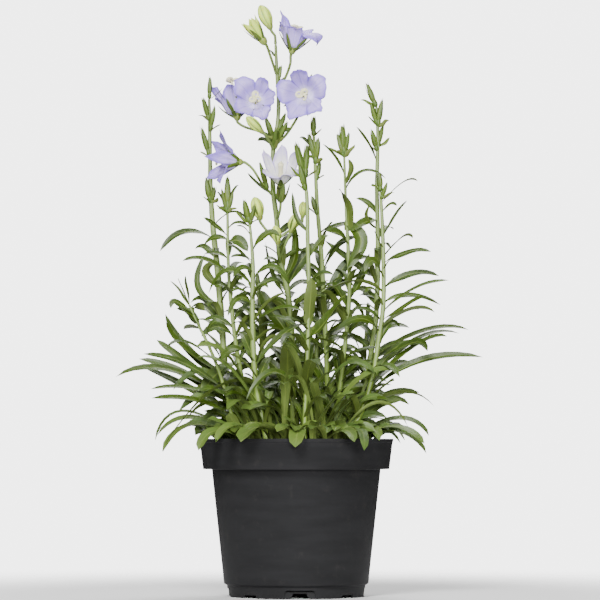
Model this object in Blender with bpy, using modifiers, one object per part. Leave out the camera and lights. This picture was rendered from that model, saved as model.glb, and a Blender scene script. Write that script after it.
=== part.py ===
"""Potted bellflower: a peach-leaved bellflower clump in a round nursery pot.

Lengths in the tables are millimetres; everything built is in metres, +Z up.
The origin is on the pot's axis, at the level of its foot.
"""

import math

import bmesh
import bpy
from mathutils import Matrix, Vector
from mathutils.bvhtree import BVHTree

MM = 0.001

# ---- pot ----
POT_HEIGHT = 153.3
RIM_RADIUS = 95.0
BAND_HEIGHT = 29.5
BAND_DRAFT = 4.1
BAND_STEP = 8.5
FOOT_RADIUS = 66.6
FOOT_HEIGHT = 11.0
FOOT_LEDGE = 3.0
WALL = 1.8
BASE_RAISE = 5.0
BASE_THICKNESS = 2.0
POT_SEGMENTS = 48
NOTCH_COUNT = 4
NOTCH_TURN = 3.0
DRAIN_NOTCH = (30.0, 8.2)
SMALL_NOTCH = (16.0, 3.0)

# ---- compost ----
COMPOST_DROP = 11.3
COMPOST_GAP = 0.4

# ---- plant ----
PLANT_HEIGHT = 438.0
PLANT_SPREAD = 356.0
DRAWN_HEIGHT = 438.0
DRAWN_SPREAD = 356.0
DRAWN_CROWN = 142.0
STEM_THICKNESS = 1.0
STALK_RADIUS = 1.1
STALK_NECK = 2.5
LEAF_WIDTH = 1.0
BLADE_THICKNESS = 0.9
CLEARANCE = 0.3
LEAF_CLEARANCE = 0.5

# ---- flowers ----
PETAL_THICKNESS = 0.7
OVARY_LENGTH = 6.0
OVARY_RADIUS = 3.6
SEPAL_LENGTH = 15.0
SEPAL_WIDTH = 3.0
PISTIL_RADIUS = 0.9
STIGMA_RADIUS = 2.3
LOBES = 5
STEPS_PER_LOBE = 4

GOLDEN_ANGLE = 137.5

# Stems, from the compost up: (x, y, z, radius)
STEMS = {
    "shoot_main": [
        (-2, 18, 147, 3.2), (-4, 16, 210, 3.1), (-5, 14, 262, 3), (-9, 12, 300, 2.9),
        (-16, 9, 330, 2.8), (-19.5, 5, 370, 2.6), (-23, 2, 400, 2.5), (-22.5, 2, 440, 2.2),
        (-18.5, 5, 462, 2), (-17.5, 7, 485, 1.9), (-19, 5, 512, 1.7), (-20.5, 2, 546, 1.3),
    ],
    "shoot_tall_left": [
        (-56, 14, 147, 3), (-61, 14, 185, 3.2), (-69, 15, 215, 3.2), (-73, 16, 262, 3.2),
        (-77.5, 18, 318, 3.1), (-82, 20, 360, 2.8), (-84.5, 20, 400, 2.4), (-85.5, 20, 460, 1.8),
        (-86, 20, 492, 1.3),
    ],
    "shoot_slim_left": [
        (-46, -14, 147, 2.2), (-52, -15, 205, 2.2), (-58, -16, 240, 2.1), (-63, -18, 280, 2),
        (-66, -20, 320, 1.6), (-67, -21, 378, 1.3),
    ],
    "shoot_pale_left": [
        (-28, -41, 147, 2.8), (-33, -40, 175, 2.8), (-39, -38, 205, 2.8), (-42, -36, 250, 2.7),
        (-42.5, -34, 290, 2.5), (-42, -32, 320, 2), (-44, -30, 350, 1.4), (-46, -29, 368, 1.2),
    ],
    "shoot_front": [
        (8, -58, 147, 2.4), (8.5, -57, 180, 2.3), (10, -55, 220, 2.2), (11.5, -53, 260, 2.2),
        (12, -51, 310, 2.1), (11, -49, 345, 2), (10.5, -47, 380, 1.9), (8, -46, 410, 1.5),
    ],
    "shoot_back_middle": [
        (32, 36, 147, 2.5), (30, 35, 230, 2.5), (27, 34, 300, 2.4), (24.5, 33, 340, 2.2),
        (21, 32, 380, 2), (19, 31, 420, 1.7), (17, 30, 460, 1.3),
    ],
    "shoot_right_middle": [
        (36, 12, 147, 2.3), (45, 14, 220, 2.3), (52, 16, 290, 2.1), (51, 16, 340, 1.9),
        (49, 15, 380, 1.5), (47, 14, 436, 1.1),
    ],
    "shoot_right_tall": [
        (46, 30, 147, 2.8), (62, 28, 190, 2.8), (74, 26, 240, 2.7), (79, 25, 280, 2.6),
        (80.5, 24, 340, 2.4), (79.5, 23, 400, 2.1), (80.5, 22, 450, 1.7), (79, 22, 484, 1.3),
    ],
    "shoot_right_front": [
        (48, -36, 147, 2.5), (57, -34, 166, 2.5), (67, -31, 190, 2.5), (75, -28, 218, 2.4),
        (80, -24, 250, 2.4), (84.5, -20, 282, 2.3), (85, -17, 320, 2.1), (84, -14, 360, 1.8),
        (82, -12, 398, 1.4),
    ],
    "shoot_low_left": [
        (-56, -38, 147, 1.8), (-66, -39, 190, 1.7), (-76, -40, 222, 1.6), (-86, -41, 246, 1.5),
        (-95, -42, 264, 1.3), (-104, -43, 284, 1.1),
    ],
    "shoot_back_left": [
        (-28, 54, 147, 2.6), (-33, 57, 200, 2.6), (-35, 60, 260, 2.3), (-38, 62, 305, 1.6),
    ],
    "shoot_back_right": [
        (14, 68, 147, 2.5), (19, 72, 200, 2.4), (21, 75, 260, 2.1), (24, 76, 312, 1.5),
    ],
    "shoot_far_right": [
        (58, 58, 147, 2.3), (64, 62, 190, 2.2), (68, 64, 235, 2), (71, 65, 278, 1.4),
    ],
}

# Flower stalks on the main stem, up to each flower or bud: (x, y, z) points
STALKS = {
    "flower_1": [(-20, 3.5, 448), (-34, 24, 456), (-50, 27, 461), (-58, 28, 468)],
    "flower_2": [(-21.5, 3, 442), (-27, 16, 462), (-36, 21, 480), (-40, 15, 484)],
    "flower_3": [(-22, 3, 440), (-10, 9, 452), (2, 19, 472), (9, 18, 492)],
    "flower_4": [(-18.3, 6, 498), (-11, 0, 507), (-6, -4, 520), (-5, -5, 530)],
    "flower_5": [(-22, 3, 391), (-33, -8, 402), (-42, -12, 416), (-52, -12, 423)],
    "flower_6": [(-19, 5.5, 368), (-16, -10, 376), (-15, -17, 388), (-15, -18, 398)],
    "bud_1": [(-20.4, 2.5, 540), (-21, 5, 549), (-25, 9, 556)],
    "bud_2": [(-19, 5, 510), (-24, -3, 524), (-30, -8, 539)],
    "bud_3": [(-22, 2, 436), (-26, -9, 443), (-32, -17, 451)],
    "bud_4": [(-18, 7, 346), (-25, -9, 352), (-35, -14, 366)],
    "bud_5": [(-15.5, 9.5, 326), (-17, -6, 332), (-18, -12, 342)],
    "bud_6": [(-16, 9, 330), (-11, -7, 342), (-6, -12, 354)],
    "bud_7": [(-17.5, 8, 350), (-6, 6, 358), (5, -2, 365), (6, -4, 369)],
}

# Open flowers: axis out of the mouth, bell length, mouth radius, lobe length, turn
FLOWERS = {
    "flower_1": ((-0.25, 0.35, 0.9), 20, 19, 6, 10),
    "flower_2": ((0.0, -0.97, 0.12), 17, 18, 5, 18),
    "flower_3": ((-0.12, -0.97, -0.08), 18, 20, 6, 0),
    "flower_4": ((0.22, -0.1, 0.95), 19, 19, 8, 36),
    "flower_5": ((-0.97, -0.12, 0.12), 20, 20, 13, 90),
    "flower_6": ((0.0, -0.3, 0.95), 24, 13, 9, 36),
}

# Closed buds that carry colour: axis, length, radius
BUDS = {
    "bud_1": ((-0.4, 0.1, 0.92), 26, 5.5),
    "bud_2": ((-0.58, -0.15, 0.8), 30, 6.5),
    "bud_3": ((-0.7, -0.25, 0.66), 23, 4.2),
    "bud_4": ((-0.25, -0.1, 0.96), 23, 5.5),
    "bud_5": ((-0.15, -0.1, 0.98), 19, 4.2),
    "bud_6": ((0.3, -0.1, 0.95), 19, 4.5),
    "bud_7": ((0.05, -0.1, 0.99), 16, 4.0),
}

# Green buds that stay part of their shoot: base (x, y, z), tip (x, y, z), radius
GREEN_BUDS = {
    "shoot_main": [
        ((-21, 3.5, 444), (-31, -4, 470), 3), ((-21, 3.5, 442), (-8, -6, 464), 3),
        ((-20, 4, 452), (-10, 12, 474), 2.8), ((-22, 2, 436), (-19, -9, 458), 3),
        ((-18.5, 6, 502), (-15, 9, 521), 2.3), ((-28, -5, 396), (-36, -14, 424), 2.8),
    ],
    "shoot_tall_left": [
        ((-86, 20, 488), (-85, 20, 511), 2.4), ((-86, 20, 466), (-92, 16, 490), 2.6),
        ((-85.5, 20, 455), (-80, 16, 482), 2.6), ((-85, 20, 430), (-94, 16, 461), 2.8),
        ((-84.6, 20, 385), (-89, 15, 411), 3), ((-84.6, 20, 384), (-80, 16, 402), 2.6),
    ],
    "shoot_slim_left": [
        ((-67, -21, 374), (-67, -21, 410), 3.5), ((-67, -21, 372), (-73, -24, 397), 2.2),
        ((-67, -21, 372), (-61, -24, 395), 2.2),
    ],
    "shoot_pale_left": [
        ((-45.5, -29, 362), (-51, -31, 386), 3.3), ((-45.5, -29, 360), (-40, -33, 381), 2.4),
    ],
    "shoot_front": [
        ((8, -46, 404), (-1, -49, 441), 3.6), ((8, -46, 404), (11, -44, 439), 3.4),
        ((9, -46.5, 392), (3, -52, 418), 3.2),
    ],
    "shoot_back_middle": [
        ((17, 30, 452), (17, 29, 473), 3), ((18.5, 31, 424), (22, 27, 452), 3.3),
        ((18.5, 31, 428), (12, 28, 456), 2.8), ((21, 32, 374), (15, 28, 394), 2.8),
        ((19.5, 31, 408), (24, 35, 430), 2.6),
    ],
    "shoot_right_middle": [
        ((47, 14, 432), (45, 13, 463), 3.6), ((47, 14, 430), (52, 10, 455), 2.4),
        ((47, 14, 430), (40, 12, 454), 2.4),
    ],
    "shoot_right_tall": [
        ((79.2, 22, 480), (69, 21, 505), 3), ((80, 22, 462), (73, 18, 486), 2.8),
        ((80, 22, 460), (85, 19, 489), 2.8), ((80, 22, 436), (74, 18, 459), 2.8),
        ((80, 22, 440), (86, 26, 464), 2.5),
    ],
    "shoot_right_front": [
        ((82, -12, 394), (81, -13, 414), 2.8), ((82.5, -12.5, 386), (89, -16, 404), 2.2),
    ],
    "shoot_low_left": [],
    "shoot_back_left": [((-38, 62, 300), (-39, 63, 320), 2.6)],
    "shoot_back_right": [((24, 76, 306), (24, 77, 327), 2.6)],
    "shoot_far_right": [((71, 65, 272), (72, 66, 290), 2.3)],
}

# Leaves drawn one by one: height on the stem, half-way point (x, z), tip (x, z),
# how far the tip lies behind the stem, width
LEAVES = {
    "shoot_main": [
        (440, -31, 446, -38, 445, -6, 3), (436, -30, 451, -36, 453, 8, 3),
        (446, -12, 456, -5, 458, 6, 3), (528, -24, 532, -27, 536, 2, 2.5),
        (392, -38, 402, -48, 414, -2, 4), (195, -9, 225, -5, 252, -34, 10),
        (352, -10, 362, -2, 366, 12, 4), (300, 6, 330, 22, 342, 8, 7),
        (290, -24, 316, -30, 346, -6, 7), (270, 12, 296, 32, 306, -12, 6),
        (250, -24, 280, -36, 300, 10, 8), (310, 0, 340, -3, 366, 6, 6),
    ],
    "shoot_tall_left": [
        (350, -110, 356, -134, 337, -12, 5), (362, -62, 377, -47, 366, 8, 3.5),
        (285, -97, 303, -90, 336, 10, 4), (303, -88, 318, -76, 327, -8, 5),
        (188, -128, 222, -177, 214, -4, 5), (205, -110, 245, -129, 276, 12, 5),
        (215, -112, 243, -128, 268, -8, 6), (192, -108, 228, -138, 251, 20, 6),
        (184, -112, 216, -155, 232, 8, 6), (176, -110, 206, -151, 224, 28, 5),
        (240, -96, 262, -112, 262, 34, 6), (262, -92, 284, -106, 280, 26, 5),
    ],
    "shoot_slim_left": [
        (350, -79, 361, -90, 368, -6, 4), (346, -80, 349, -91, 340, 10, 4),
        (344, -56, 345, -47, 335, -8, 7), (313, -88, 327, -110, 326, -10, 4.5),
        (292, -70, 302, -79, 300, -14, 7), (226, -77, 216, -91, 194, -20, 10),
        (172, -78, 188, -105, 174, -26, 8), (376, -73, 388, -77, 393, -4, 2.5),
        (380, -60, 396, -56, 400, 3, 2.5), (250, -76, 262, -92, 252, -16, 6),
    ],
    "shoot_pale_left": [
        (358, -57, 363, -66, 357, 6, 3.5), (350, -51, 358, -58, 359, -8, 3),
        (322, -56, 336, -67, 341, -6, 5), (315, -52, 319, -61, 309, -14, 4),
        (300, -66, 316, -85, 294, 4, 5), (288, -53, 297, -62, 295, -14, 4),
        (282, -55, 290, -66, 272, -6, 5), (334, -29, 352, -16, 349, -6, 5),
        (307, -24, 319, -6, 301, -10, 5), (293, -28, 306, -14, 303, 6, 4),
        (263, -18, 278, 6, 276, -22, 5), (245, -24, 258, -11, 255, -18, 4),
        (204, -78, 201, -125, 149, -34, 7), (226, -58, 240, -72, 228, -30, 6),
    ],
    "shoot_front": [
        (262, 14, 286, 15, 308, -12, 8), (212, 31, 237, 49, 259, -26, 5),
        (264, -15, 252, -38, 224, -22, 5), (352, 1, 368, -4, 392, 6, 3),
        (326, 24, 344, 31, 350, 10, 4), (248, 28, 266, 48, 291, -16, 8),
        (185, -20, 217, -48, 190, -18, 5), (200, 14, 226, 22, 222, -92, 7),
        (236, -4, 252, -14, 240, -62, 6),
    ],
    "shoot_back_middle": [
        (357, 49, 366, 68, 357, 6, 4), (440, 12, 454, 8, 461, -5, 2.5),
        (436, 9, 449, 3, 451, 4, 2.5), (356, 31, 362, 36, 367, -8, 3.5),
        (318, 44, 346, 62, 352, -4, 6), (286, 44, 318, 56, 332, 10, 7),
        (300, 10, 322, -2, 324, 14, 6),
    ],
    "shoot_right_middle": [
        (412, 38, 430, 26, 443, -6, 3), (404, 54, 416, 51, 428, -8, 4),
        (398, 66, 416, 88, 409, -6, 4), (358, 50, 382, 42, 398, -14, 9),
        (366, 63, 345, 50, 320, -12, 8), (343, 41, 355, 29, 357, -8, 6),
        (230, 58, 231, 70, 217, -12, 5), (292, 64, 310, 72, 336, 2, 6),
        (262, 36, 290, 24, 296, -14, 7),
    ],
    "shoot_right_tall": [
        (425, 71, 444, 59, 461, -6, 3), (372, 72, 386, 59, 391, 8, 4),
        (368, 67, 366, 53, 357, -12, 6), (312, 60, 325, 28, 350, 16, 5),
        (360, 69, 370, 73, 385, -14, 4), (232, 128, 260, 171, 261, 14, 5),
        (208, 120, 251, 163, 258, 32, 5), (250, 100, 276, 122, 282, 34, 6),
    ],
    "shoot_right_front": [
        (383, 105, 404, 119, 405, 8, 3.5), (374, 92, 381, 98, 380, -8, 3),
        (350, 99, 373, 108, 385, -6, 4), (330, 104, 350, 114, 349, 8, 5),
        (324, 108, 335, 131, 335, -8, 4), (299, 112, 314, 139, 312, 6, 4.5),
        (276, 115, 299, 148, 307, -12, 4.5), (284, 108, 294, 141, 284, 16, 4),
        (268, 108, 283, 123, 291, -20, 4), (260, 112, 279, 135, 276, 4, 4.5),
        (308, 75, 326, 66, 315, -10, 6), (295, 60, 306, 32, 297, -14, 5),
        (268, 67, 278, 53, 277, -8, 5), (256, 63, 270, 38, 257, -18, 5),
        (338, 79, 349, 76, 355, -8, 4), (206, 115, 242, 145, 252, -24, 6),
        (226, 112, 245, 126, 237, -38, 5), (196, 122, 229, 181, 232, -6, 5),
        (184, 84, 203, 94, 209, -34, 5), (182, 103, 198, 132, 184, -44, 6),
    ],
    "shoot_low_left": [
        (200, -108, 226, -147, 235, -10, 5), (190, -104, 202, -140, 201, -16, 4.5),
        (176, -98, 190, -138, 192, -34, 5), (272, -115, 285, -121, 279, -6, 4),
        (262, -107, 275, -117, 283, -12, 5), (265, -99, 279, -88, 277, 8, 8),
        (282, -106, 300, -107, 311, 0, 2.5), (283, -111, 300, -114, 308, -6, 2.5),
        (281, -113, 296, -122, 306, 6, 2.5), (228, -106, 246, -124, 240, -30, 4.5),
    ],
    "shoot_back_left": [
        (180, -60, 212, -92, 222, 52, 7), (196, -30, 228, -34, 234, 88, 7),
        (250, -56, 276, -74, 280, 24, 6),
    ],
    "shoot_back_right": [
        (176, 30, 208, 40, 214, 80, 7), (200, -2, 236, -20, 246, 54, 7),
        (236, 40, 262, 56, 266, 40, 6),
    ],
    "shoot_far_right": [
        (170, 92, 196, 124, 200, 44, 7), (190, 90, 222, 116, 232, 62, 6),
        (224, 96, 246, 112, 246, 20, 6),
    ],
}

# Leaves that follow the spiral of each stem: lowest height, highest height, count,
# lowest leaf's length, highest leaf's length, width, first direction
SPIRALS = {
    "shoot_main": (168, 340, 9, 66, 34, 6, 20),
    "shoot_tall_left": (226, 330, 4, 44, 30, 5, 100),
    "shoot_slim_left": (190, 330, 5, 50, 26, 5, 250),
    "shoot_pale_left": (176, 270, 3, 52, 34, 5, 215),
    "shoot_front": (172, 300, 4, 52, 30, 5.5, 300),
    "shoot_back_middle": (166, 340, 8, 66, 32, 6, 60),
    "shoot_right_middle": (176, 330, 7, 60, 30, 6, 330),
    "shoot_right_tall": (186, 350, 6, 56, 30, 5.5, 80),
    "shoot_right_front": (172, 240, 2, 52, 40, 5.5, 250),
    "shoot_low_left": (184, 250, 2, 40, 26, 4.5, 210),
    "shoot_back_left": (166, 296, 8, 74, 36, 6.5, 95),
    "shoot_back_right": (166, 300, 8, 74, 36, 6.5, 40),
    "shoot_far_right": (164, 266, 5, 66, 36, 6, 10),
}

# Leaves of the basal rosette, each a piece of its own: root (x, y), half-way point
# (x, z), tip (x, z), how far the tip lies behind the root, width
BASAL_LEAVES = [
    (34, -40, 74, 187, 107, 165, -24, 5),
    (40, -8, 94, 172, 129, 156, -10, 9),
    (40, -22, 88, 165, 123, 149, -38, 7),
    (44, -32, 88, 161, 113, 139, -44, 7),
    (28, -52, 57, 163, 64, 142, -62, 7),
    (18, -62, 44, 161, 55, 150, -52, 7),
    (1, -66, 2, 161, -1, 145, -44, 11),
    (-12, -56, -32, 164, -53, 151, -46, 16),
    (-38, -48, -74, 161, -93, 142, -40, 8),
    (-22, -60, -56, 166, -76, 150, -44, 7),
    (-42, 0, -106, 180, -138, 152, 4, 4.5),
    (-44, 22, -98, 172, -137, 157, 16, 8),
    (-40, -26, -94, 167, -129, 141, -10, 9),
    (20, -40, 32, 184, 56, 197, -26, 6),
    (-6, -34, -20, 186, -38, 202, -24, 7),
    (-12, 76, -34, 170, -52, 150, 72, 9),
    (40, 76, 62, 174, 78, 152, 62, 8),
]

PALETTE = {
    "pot": ((0.045, 0.045, 0.048), 0.42),
    "compost": ((0.035, 0.022, 0.014), 0.95),
    "shoot": ((0.16, 0.28, 0.07), 0.55),
    "leaf": ((0.08, 0.17, 0.03), 0.5),
    "calyx": ((0.3, 0.42, 0.14), 0.55),
    "petals": ((0.5, 0.48, 0.82), 0.6),
    "pistil": ((0.85, 0.84, 0.6), 0.6),
    "bud": ((0.62, 0.7, 0.3), 0.5),
}

BLADE_RINGS = ((0.0, 0.4), (0.25, 0.85), (0.5, 1.0), (0.77, 0.66))


# ---- scene helpers ----

def new_collection(name):
    collection = bpy.data.collections.new(name)
    bpy.context.scene.collection.children.link(collection)
    return collection


def material(name):
    """A material of its own for the piece, in its family's colour."""
    family = next(key for key in PALETTE if key in name)
    colour, roughness = PALETTE[family]
    made = bpy.data.materials.new(name)
    made.use_nodes = True
    shader = made.node_tree.nodes["Principled BSDF"]
    shader.inputs["Base Color"].default_value = (*colour, 1.0)
    shader.inputs["Roughness"].default_value = roughness
    shader.inputs["Metallic"].default_value = 0.0
    return made


def add_object(name, mesh, collection):
    made = bpy.data.objects.new(name, mesh)
    collection.objects.link(made)
    return made


def finish(piece):
    """Give the piece its material and smooth shading."""
    piece.data.materials.clear()
    piece.data.materials.append(material(piece.name))
    piece.data.shade_smooth()


def hide_helper(helper):
    helper.hide_render = True
    helper.display_type = "WIRE"


def mesh_from_bmesh(name, shape):
    mesh = bpy.data.meshes.new(name)
    shape.to_mesh(mesh)
    shape.free()
    return mesh


# ---- where drawn points come to lie ----

def compost_top():
    return POT_HEIGHT - COMPOST_DROP


def place(x, y, z):
    """A drawn point in metres, moved with the compost and the plant's sizes."""
    spread = PLANT_SPREAD / DRAWN_SPREAD
    rise = PLANT_HEIGHT / DRAWN_HEIGHT
    height = compost_top() + (z - DRAWN_CROWN) * rise
    return Vector((x * spread, y * spread, height)) * MM


def stem_point(name, height):
    """The point of a stem's axis at a drawn height."""
    rows = STEMS[name]
    for low, high in zip(rows, rows[1:]):
        if height <= high[2]:
            break
    share = (height - low[2]) / (high[2] - low[2])
    return [low[axis] + (high[axis] - low[axis]) * share for axis in range(3)]


# ---- pot and compost ----

def turned(name, profile, segments, collection):
    """A body turned from a profile of (radius, height) points."""
    shape = bmesh.new()
    points = [shape.verts.new((radius * MM, 0.0, height * MM)) for radius, height in profile]
    for start, end in zip(points, points[1:]):
        shape.edges.new((start, end))
    piece = add_object(name, mesh_from_bmesh(name, shape), collection)
    screw = piece.modifiers.new("turn", "SCREW")
    screw.steps = segments
    screw.render_steps = segments
    screw.use_merge_vertices = True
    screw.merge_threshold = 0.00001
    return piece


def body_radius(height):
    """Outer radius of the pot's body below the band."""
    low = FOOT_RADIUS + FOOT_LEDGE + 0.9
    high = RIM_RADIUS - BAND_DRAFT - BAND_STEP
    share = (height - FOOT_HEIGHT) / (POT_HEIGHT - BAND_HEIGHT - FOOT_HEIGHT)
    return low + (high - low) * share


def band_radius(height):
    """Outer radius of the pot's rim band."""
    return RIM_RADIUS - BAND_DRAFT * (POT_HEIGHT - height) / BAND_HEIGHT


def pot_profile():
    step = POT_HEIGHT - BAND_HEIGHT
    floor = BASE_RAISE + BASE_THICKNESS
    ledge = FOOT_HEIGHT + WALL
    inner = [
        (0.0, floor),
        (FOOT_RADIUS - WALL + 0.3, floor),
        (FOOT_RADIUS - WALL + 0.6, FOOT_HEIGHT),
        (body_radius(ledge) - WALL, ledge + 1.0),
        (body_radius(step) - WALL, step + WALL),
        (band_radius(step) - WALL, step + WALL),
        (RIM_RADIUS - WALL, POT_HEIGHT),
    ]
    outer = [
        (RIM_RADIUS, POT_HEIGHT),
        (band_radius(step), step),
        (body_radius(step), step),
        (body_radius(ledge), ledge),
        (FOOT_RADIUS + 0.9, FOOT_HEIGHT),
        (FOOT_RADIUS, 0.0),
        (FOOT_RADIUS - WALL, 0.0),
        (FOOT_RADIUS - WALL, BASE_RAISE),
        (0.0, BASE_RAISE),
    ]
    return inner + outer


def foot_cutter(cutters):
    """Boxes through the foot ring: drain notches and shallow notches in turn."""
    shape = bmesh.new()
    for index in range(2 * NOTCH_COUNT):
        width, height = DRAIN_NOTCH if index % 2 == 0 else SMALL_NOTCH
        angle = math.radians(NOTCH_TURN - 90.0 + index * 180.0 / NOTCH_COUNT)
        reach = 4.0 * WALL
        size = Matrix.Diagonal((reach * MM, width * MM, 2.0 * height * MM, 1.0))
        middle = Matrix.Translation(((FOOT_RADIUS - 0.4 * WALL) * MM, 0.0, 0.0))
        turn = Matrix.Rotation(angle, 4, "Z")
        bmesh.ops.create_cube(shape, size=1.0, matrix=turn @ middle @ size)
    cutter = add_object("foot_cutter", mesh_from_bmesh("foot_cutter", shape), cutters)
    hide_helper(cutter)
    return cutter


def make_pot(parts, cutters):
    pot = turned("pot", pot_profile(), POT_SEGMENTS, parts)
    cut = pot.modifiers.new("notches", "BOOLEAN")
    cut.operation = "DIFFERENCE"
    cut.solver = "EXACT"
    cut.object = foot_cutter(cutters)
    finish(pot)
    return pot


def make_compost(parts):
    step = POT_HEIGHT - BAND_HEIGHT + WALL + COMPOST_GAP
    floor = BASE_RAISE + BASE_THICKNESS + COMPOST_GAP
    ledge = FOOT_HEIGHT + WALL
    top = compost_top()
    inset = WALL + 2.0 * COMPOST_GAP
    profile = [
        (0.0, top),
        (band_radius(top) - inset, top),
        (band_radius(step) - inset, step),
        (body_radius(step) - inset - 0.5, step),
        (body_radius(ledge) - inset, ledge + 2.5),
        (FOOT_RADIUS - inset - 4.0, FOOT_HEIGHT),
        (FOOT_RADIUS - inset - 4.0, floor),
        (0.0, floor),
    ]
    compost = turned("compost", profile, POT_SEGMENTS, parts)
    finish(compost)
    return compost


# ---- plant shapes ----

def blade(shape, path, width, extra=0.0):
    """A thin leaf along a path of three control points, flat on top, keeled below."""
    start, middle, tip = path
    control = middle * 2.0 - (start + tip) * 0.5
    rings = []
    for share, part in BLADE_RINGS:
        point = start * (1 - share) ** 2 + control * 2 * share * (1 - share) + tip * share**2
        along = (control - start) * (1 - share) + (tip - control) * share
        side, up = across(along, tip - start)
        half = side * (0.5 * width * part + extra) * MM
        keel = up * (BLADE_THICKNESS + extra) * MM
        lift = up * extra * MM
        corners = (point - half + lift, point + half + lift, point - keel)
        rings.append([shape.verts.new(corner) for corner in corners])
    end = shape.verts.new(tip)
    shape.faces.new(rings[0])
    for lower, upper in zip(rings, rings[1:]):
        for index in range(3):
            after = (index + 1) % 3
            shape.faces.new((lower[after], lower[index], upper[index], upper[after]))
    for index in range(3):
        shape.faces.new((rings[-1][(index + 1) % 3], rings[-1][index], end))


def across(along, whole):
    """The blade's sideways and upward directions where it runs this way."""
    level = Vector((whole.x, whole.y, 0.0))
    if level.length < 1e-6:
        level = Vector((1.0, 0.0, 0.0))
    side = Vector((level.y, -level.x, 0.0)).normalized()
    up = side.cross(along).normalized()
    return side, up


def leaf_path(start, middle, tip, turn, lift, shrink):
    """A leaf's three points after turning it about its base, raising and shortening it."""
    spin = Matrix.Rotation(math.radians(turn), 3, "Z")
    moved = [start]
    for point in (middle, tip):
        offset = spin @ (point - start) * shrink
        rise = math.tan(math.radians(lift)) * Vector((offset.x, offset.y)).length
        moved.append(start + offset + Vector((0.0, 0.0, rise)))
    return moved


def nudges():
    """Turn, lift and shortening to try in order until a leaf lies free."""
    tries = []
    for shrink in (1.0, 0.88, 0.74, 0.6, 0.45):
        for turn in (0, 5, -5, 10, -10, 16, -16, 23, -23, 31, -31, 40, -40):
            for lift in (0, 5, -5, 10, -9, 15):
                cost = abs(turn) + 1.6 * abs(lift) + 130.0 * (1.0 - shrink)
                tries.append((cost, turn, lift, shrink))
    tries.sort()
    return [entry[1:] for entry in tries]


def spiral_leaves(name):
    """Leaves set round the stem by the golden angle, shorter towards the top."""
    low, high, count, longest, shortest, width, first = SPIRALS[name]
    leaves = []
    for index in range(count):
        share = index / (count - 1)
        base = Vector(stem_point(name, low + (high - low) * share))
        length = longest + (shortest - longest) * share
        angle = math.radians(first + GOLDEN_ANGLE * index)
        out = Vector((math.cos(angle), math.sin(angle), 0.0))
        reach = length * (0.8 - 0.16 * (index % 3 == 1))
        rise = length * (0.42 + 0.22 * (index % 3 == 1) - 0.14 * (index % 4 == 2))
        middle = base + out * reach * 0.52 + Vector((0.0, 0.0, rise * 0.95))
        tip = base + out * reach + Vector((0.0, 0.0, rise * 0.85))
        leaves.append((base, middle, tip, width * (1.0 - 0.2 * share)))
    return leaves


def drawn_leaves(name):
    leaves = []
    for height, mid_x, mid_z, tip_x, tip_z, depth, width in LEAVES[name]:
        base = Vector(stem_point(name, height))
        middle = Vector((mid_x, base.y + 0.45 * depth, mid_z))
        tip = Vector((tip_x, base.y + depth, tip_z))
        leaves.append((base, middle, tip, width))
    return leaves


def basal_leaves():
    root = DRAWN_CROWN + BLADE_THICKNESS + 4.0 * CLEARANCE
    leaves = []
    for x, y, mid_x, mid_z, tip_x, tip_z, depth, width in BASAL_LEAVES:
        base = Vector((x, y, root))
        middle = Vector((mid_x, y + 0.5 * depth, mid_z))
        tip = Vector((tip_x, y + depth, tip_z))
        leaves.append((base, middle, tip, width))
    return leaves


# ---- keeping pieces clear of each other ----

class Crowd:
    """Everything placed so far, with the name of the piece it belongs to."""

    def __init__(self):
        self.members = []

    def add(self, owner, shape):
        self.members.append((owner, box_of(shape), BVHTree.FromBMesh(shape)))

    def add_object(self, piece):
        shape = bmesh.new()
        depsgraph = bpy.context.evaluated_depsgraph_get()
        shape.from_mesh(piece.evaluated_get(depsgraph).to_mesh())
        self.add(piece.name, shape)
        shape.free()

    def touches(self, owner, shape):
        low, high = box_of(shape)
        tree = BVHTree.FromBMesh(shape)
        for name, (other_low, other_high), other_tree in self.members:
            if name == owner:
                continue
            apart = any(low[i] > other_high[i] or other_low[i] > high[i] for i in range(3))
            if not apart and tree.overlap(other_tree):
                return True
        return False


def box_of(shape):
    points = [vert.co for vert in shape.verts]
    low = [min(point[i] for point in points) for i in range(3)]
    high = [max(point[i] for point in points) for i in range(3)]
    return low, high


def settle_leaf(owner, leaf, crowd, tries):
    """The first nudge of the leaf that lies clear of every other piece."""
    start, middle, tip, width = leaf
    start, middle, tip = place(*start), place(*middle), place(*tip)
    for turn, lift, shrink in tries:
        path = leaf_path(start, middle, tip, turn, lift, shrink)
        test = bmesh.new()
        blade(test, path, width * LEAF_WIDTH, LEAF_CLEARANCE)
        clash = crowd.touches(owner, test)
        if not clash:
            crowd.add(owner, test)
            test.free()
            return path, width * LEAF_WIDTH
        test.free()
    raise RuntimeError(f"a leaf of {owner} finds no free place")


# ---- shoots ----

def tube_mesh(name, splines):
    """One mesh of closed tubes; each spline is a list of (point, radius in mm)."""
    curve = bpy.data.curves.new(name, "CURVE")
    curve.dimensions = "3D"
    curve.bevel_depth = MM
    curve.bevel_resolution = 1
    curve.use_fill_caps = True
    for points in splines:
        spline = curve.splines.new("POLY")
        spline.points.add(len(points) - 1)
        for target, (point, radius) in zip(spline.points, points):
            target.co = (*point, 1.0)
            target.radius = radius
    holder = bpy.data.objects.new(name, curve)
    bpy.context.scene.collection.objects.link(holder)
    depsgraph = bpy.context.evaluated_depsgraph_get()
    mesh = bpy.data.meshes.new_from_object(holder.evaluated_get(depsgraph))
    bpy.data.objects.remove(holder)
    shape = bmesh.new()
    shape.from_mesh(mesh)
    bmesh.ops.remove_doubles(shape, verts=shape.verts, dist=0.000001)
    bmesh.ops.recalc_face_normals(shape, faces=shape.faces)
    shape.to_mesh(mesh)
    shape.free()
    return mesh


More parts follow.
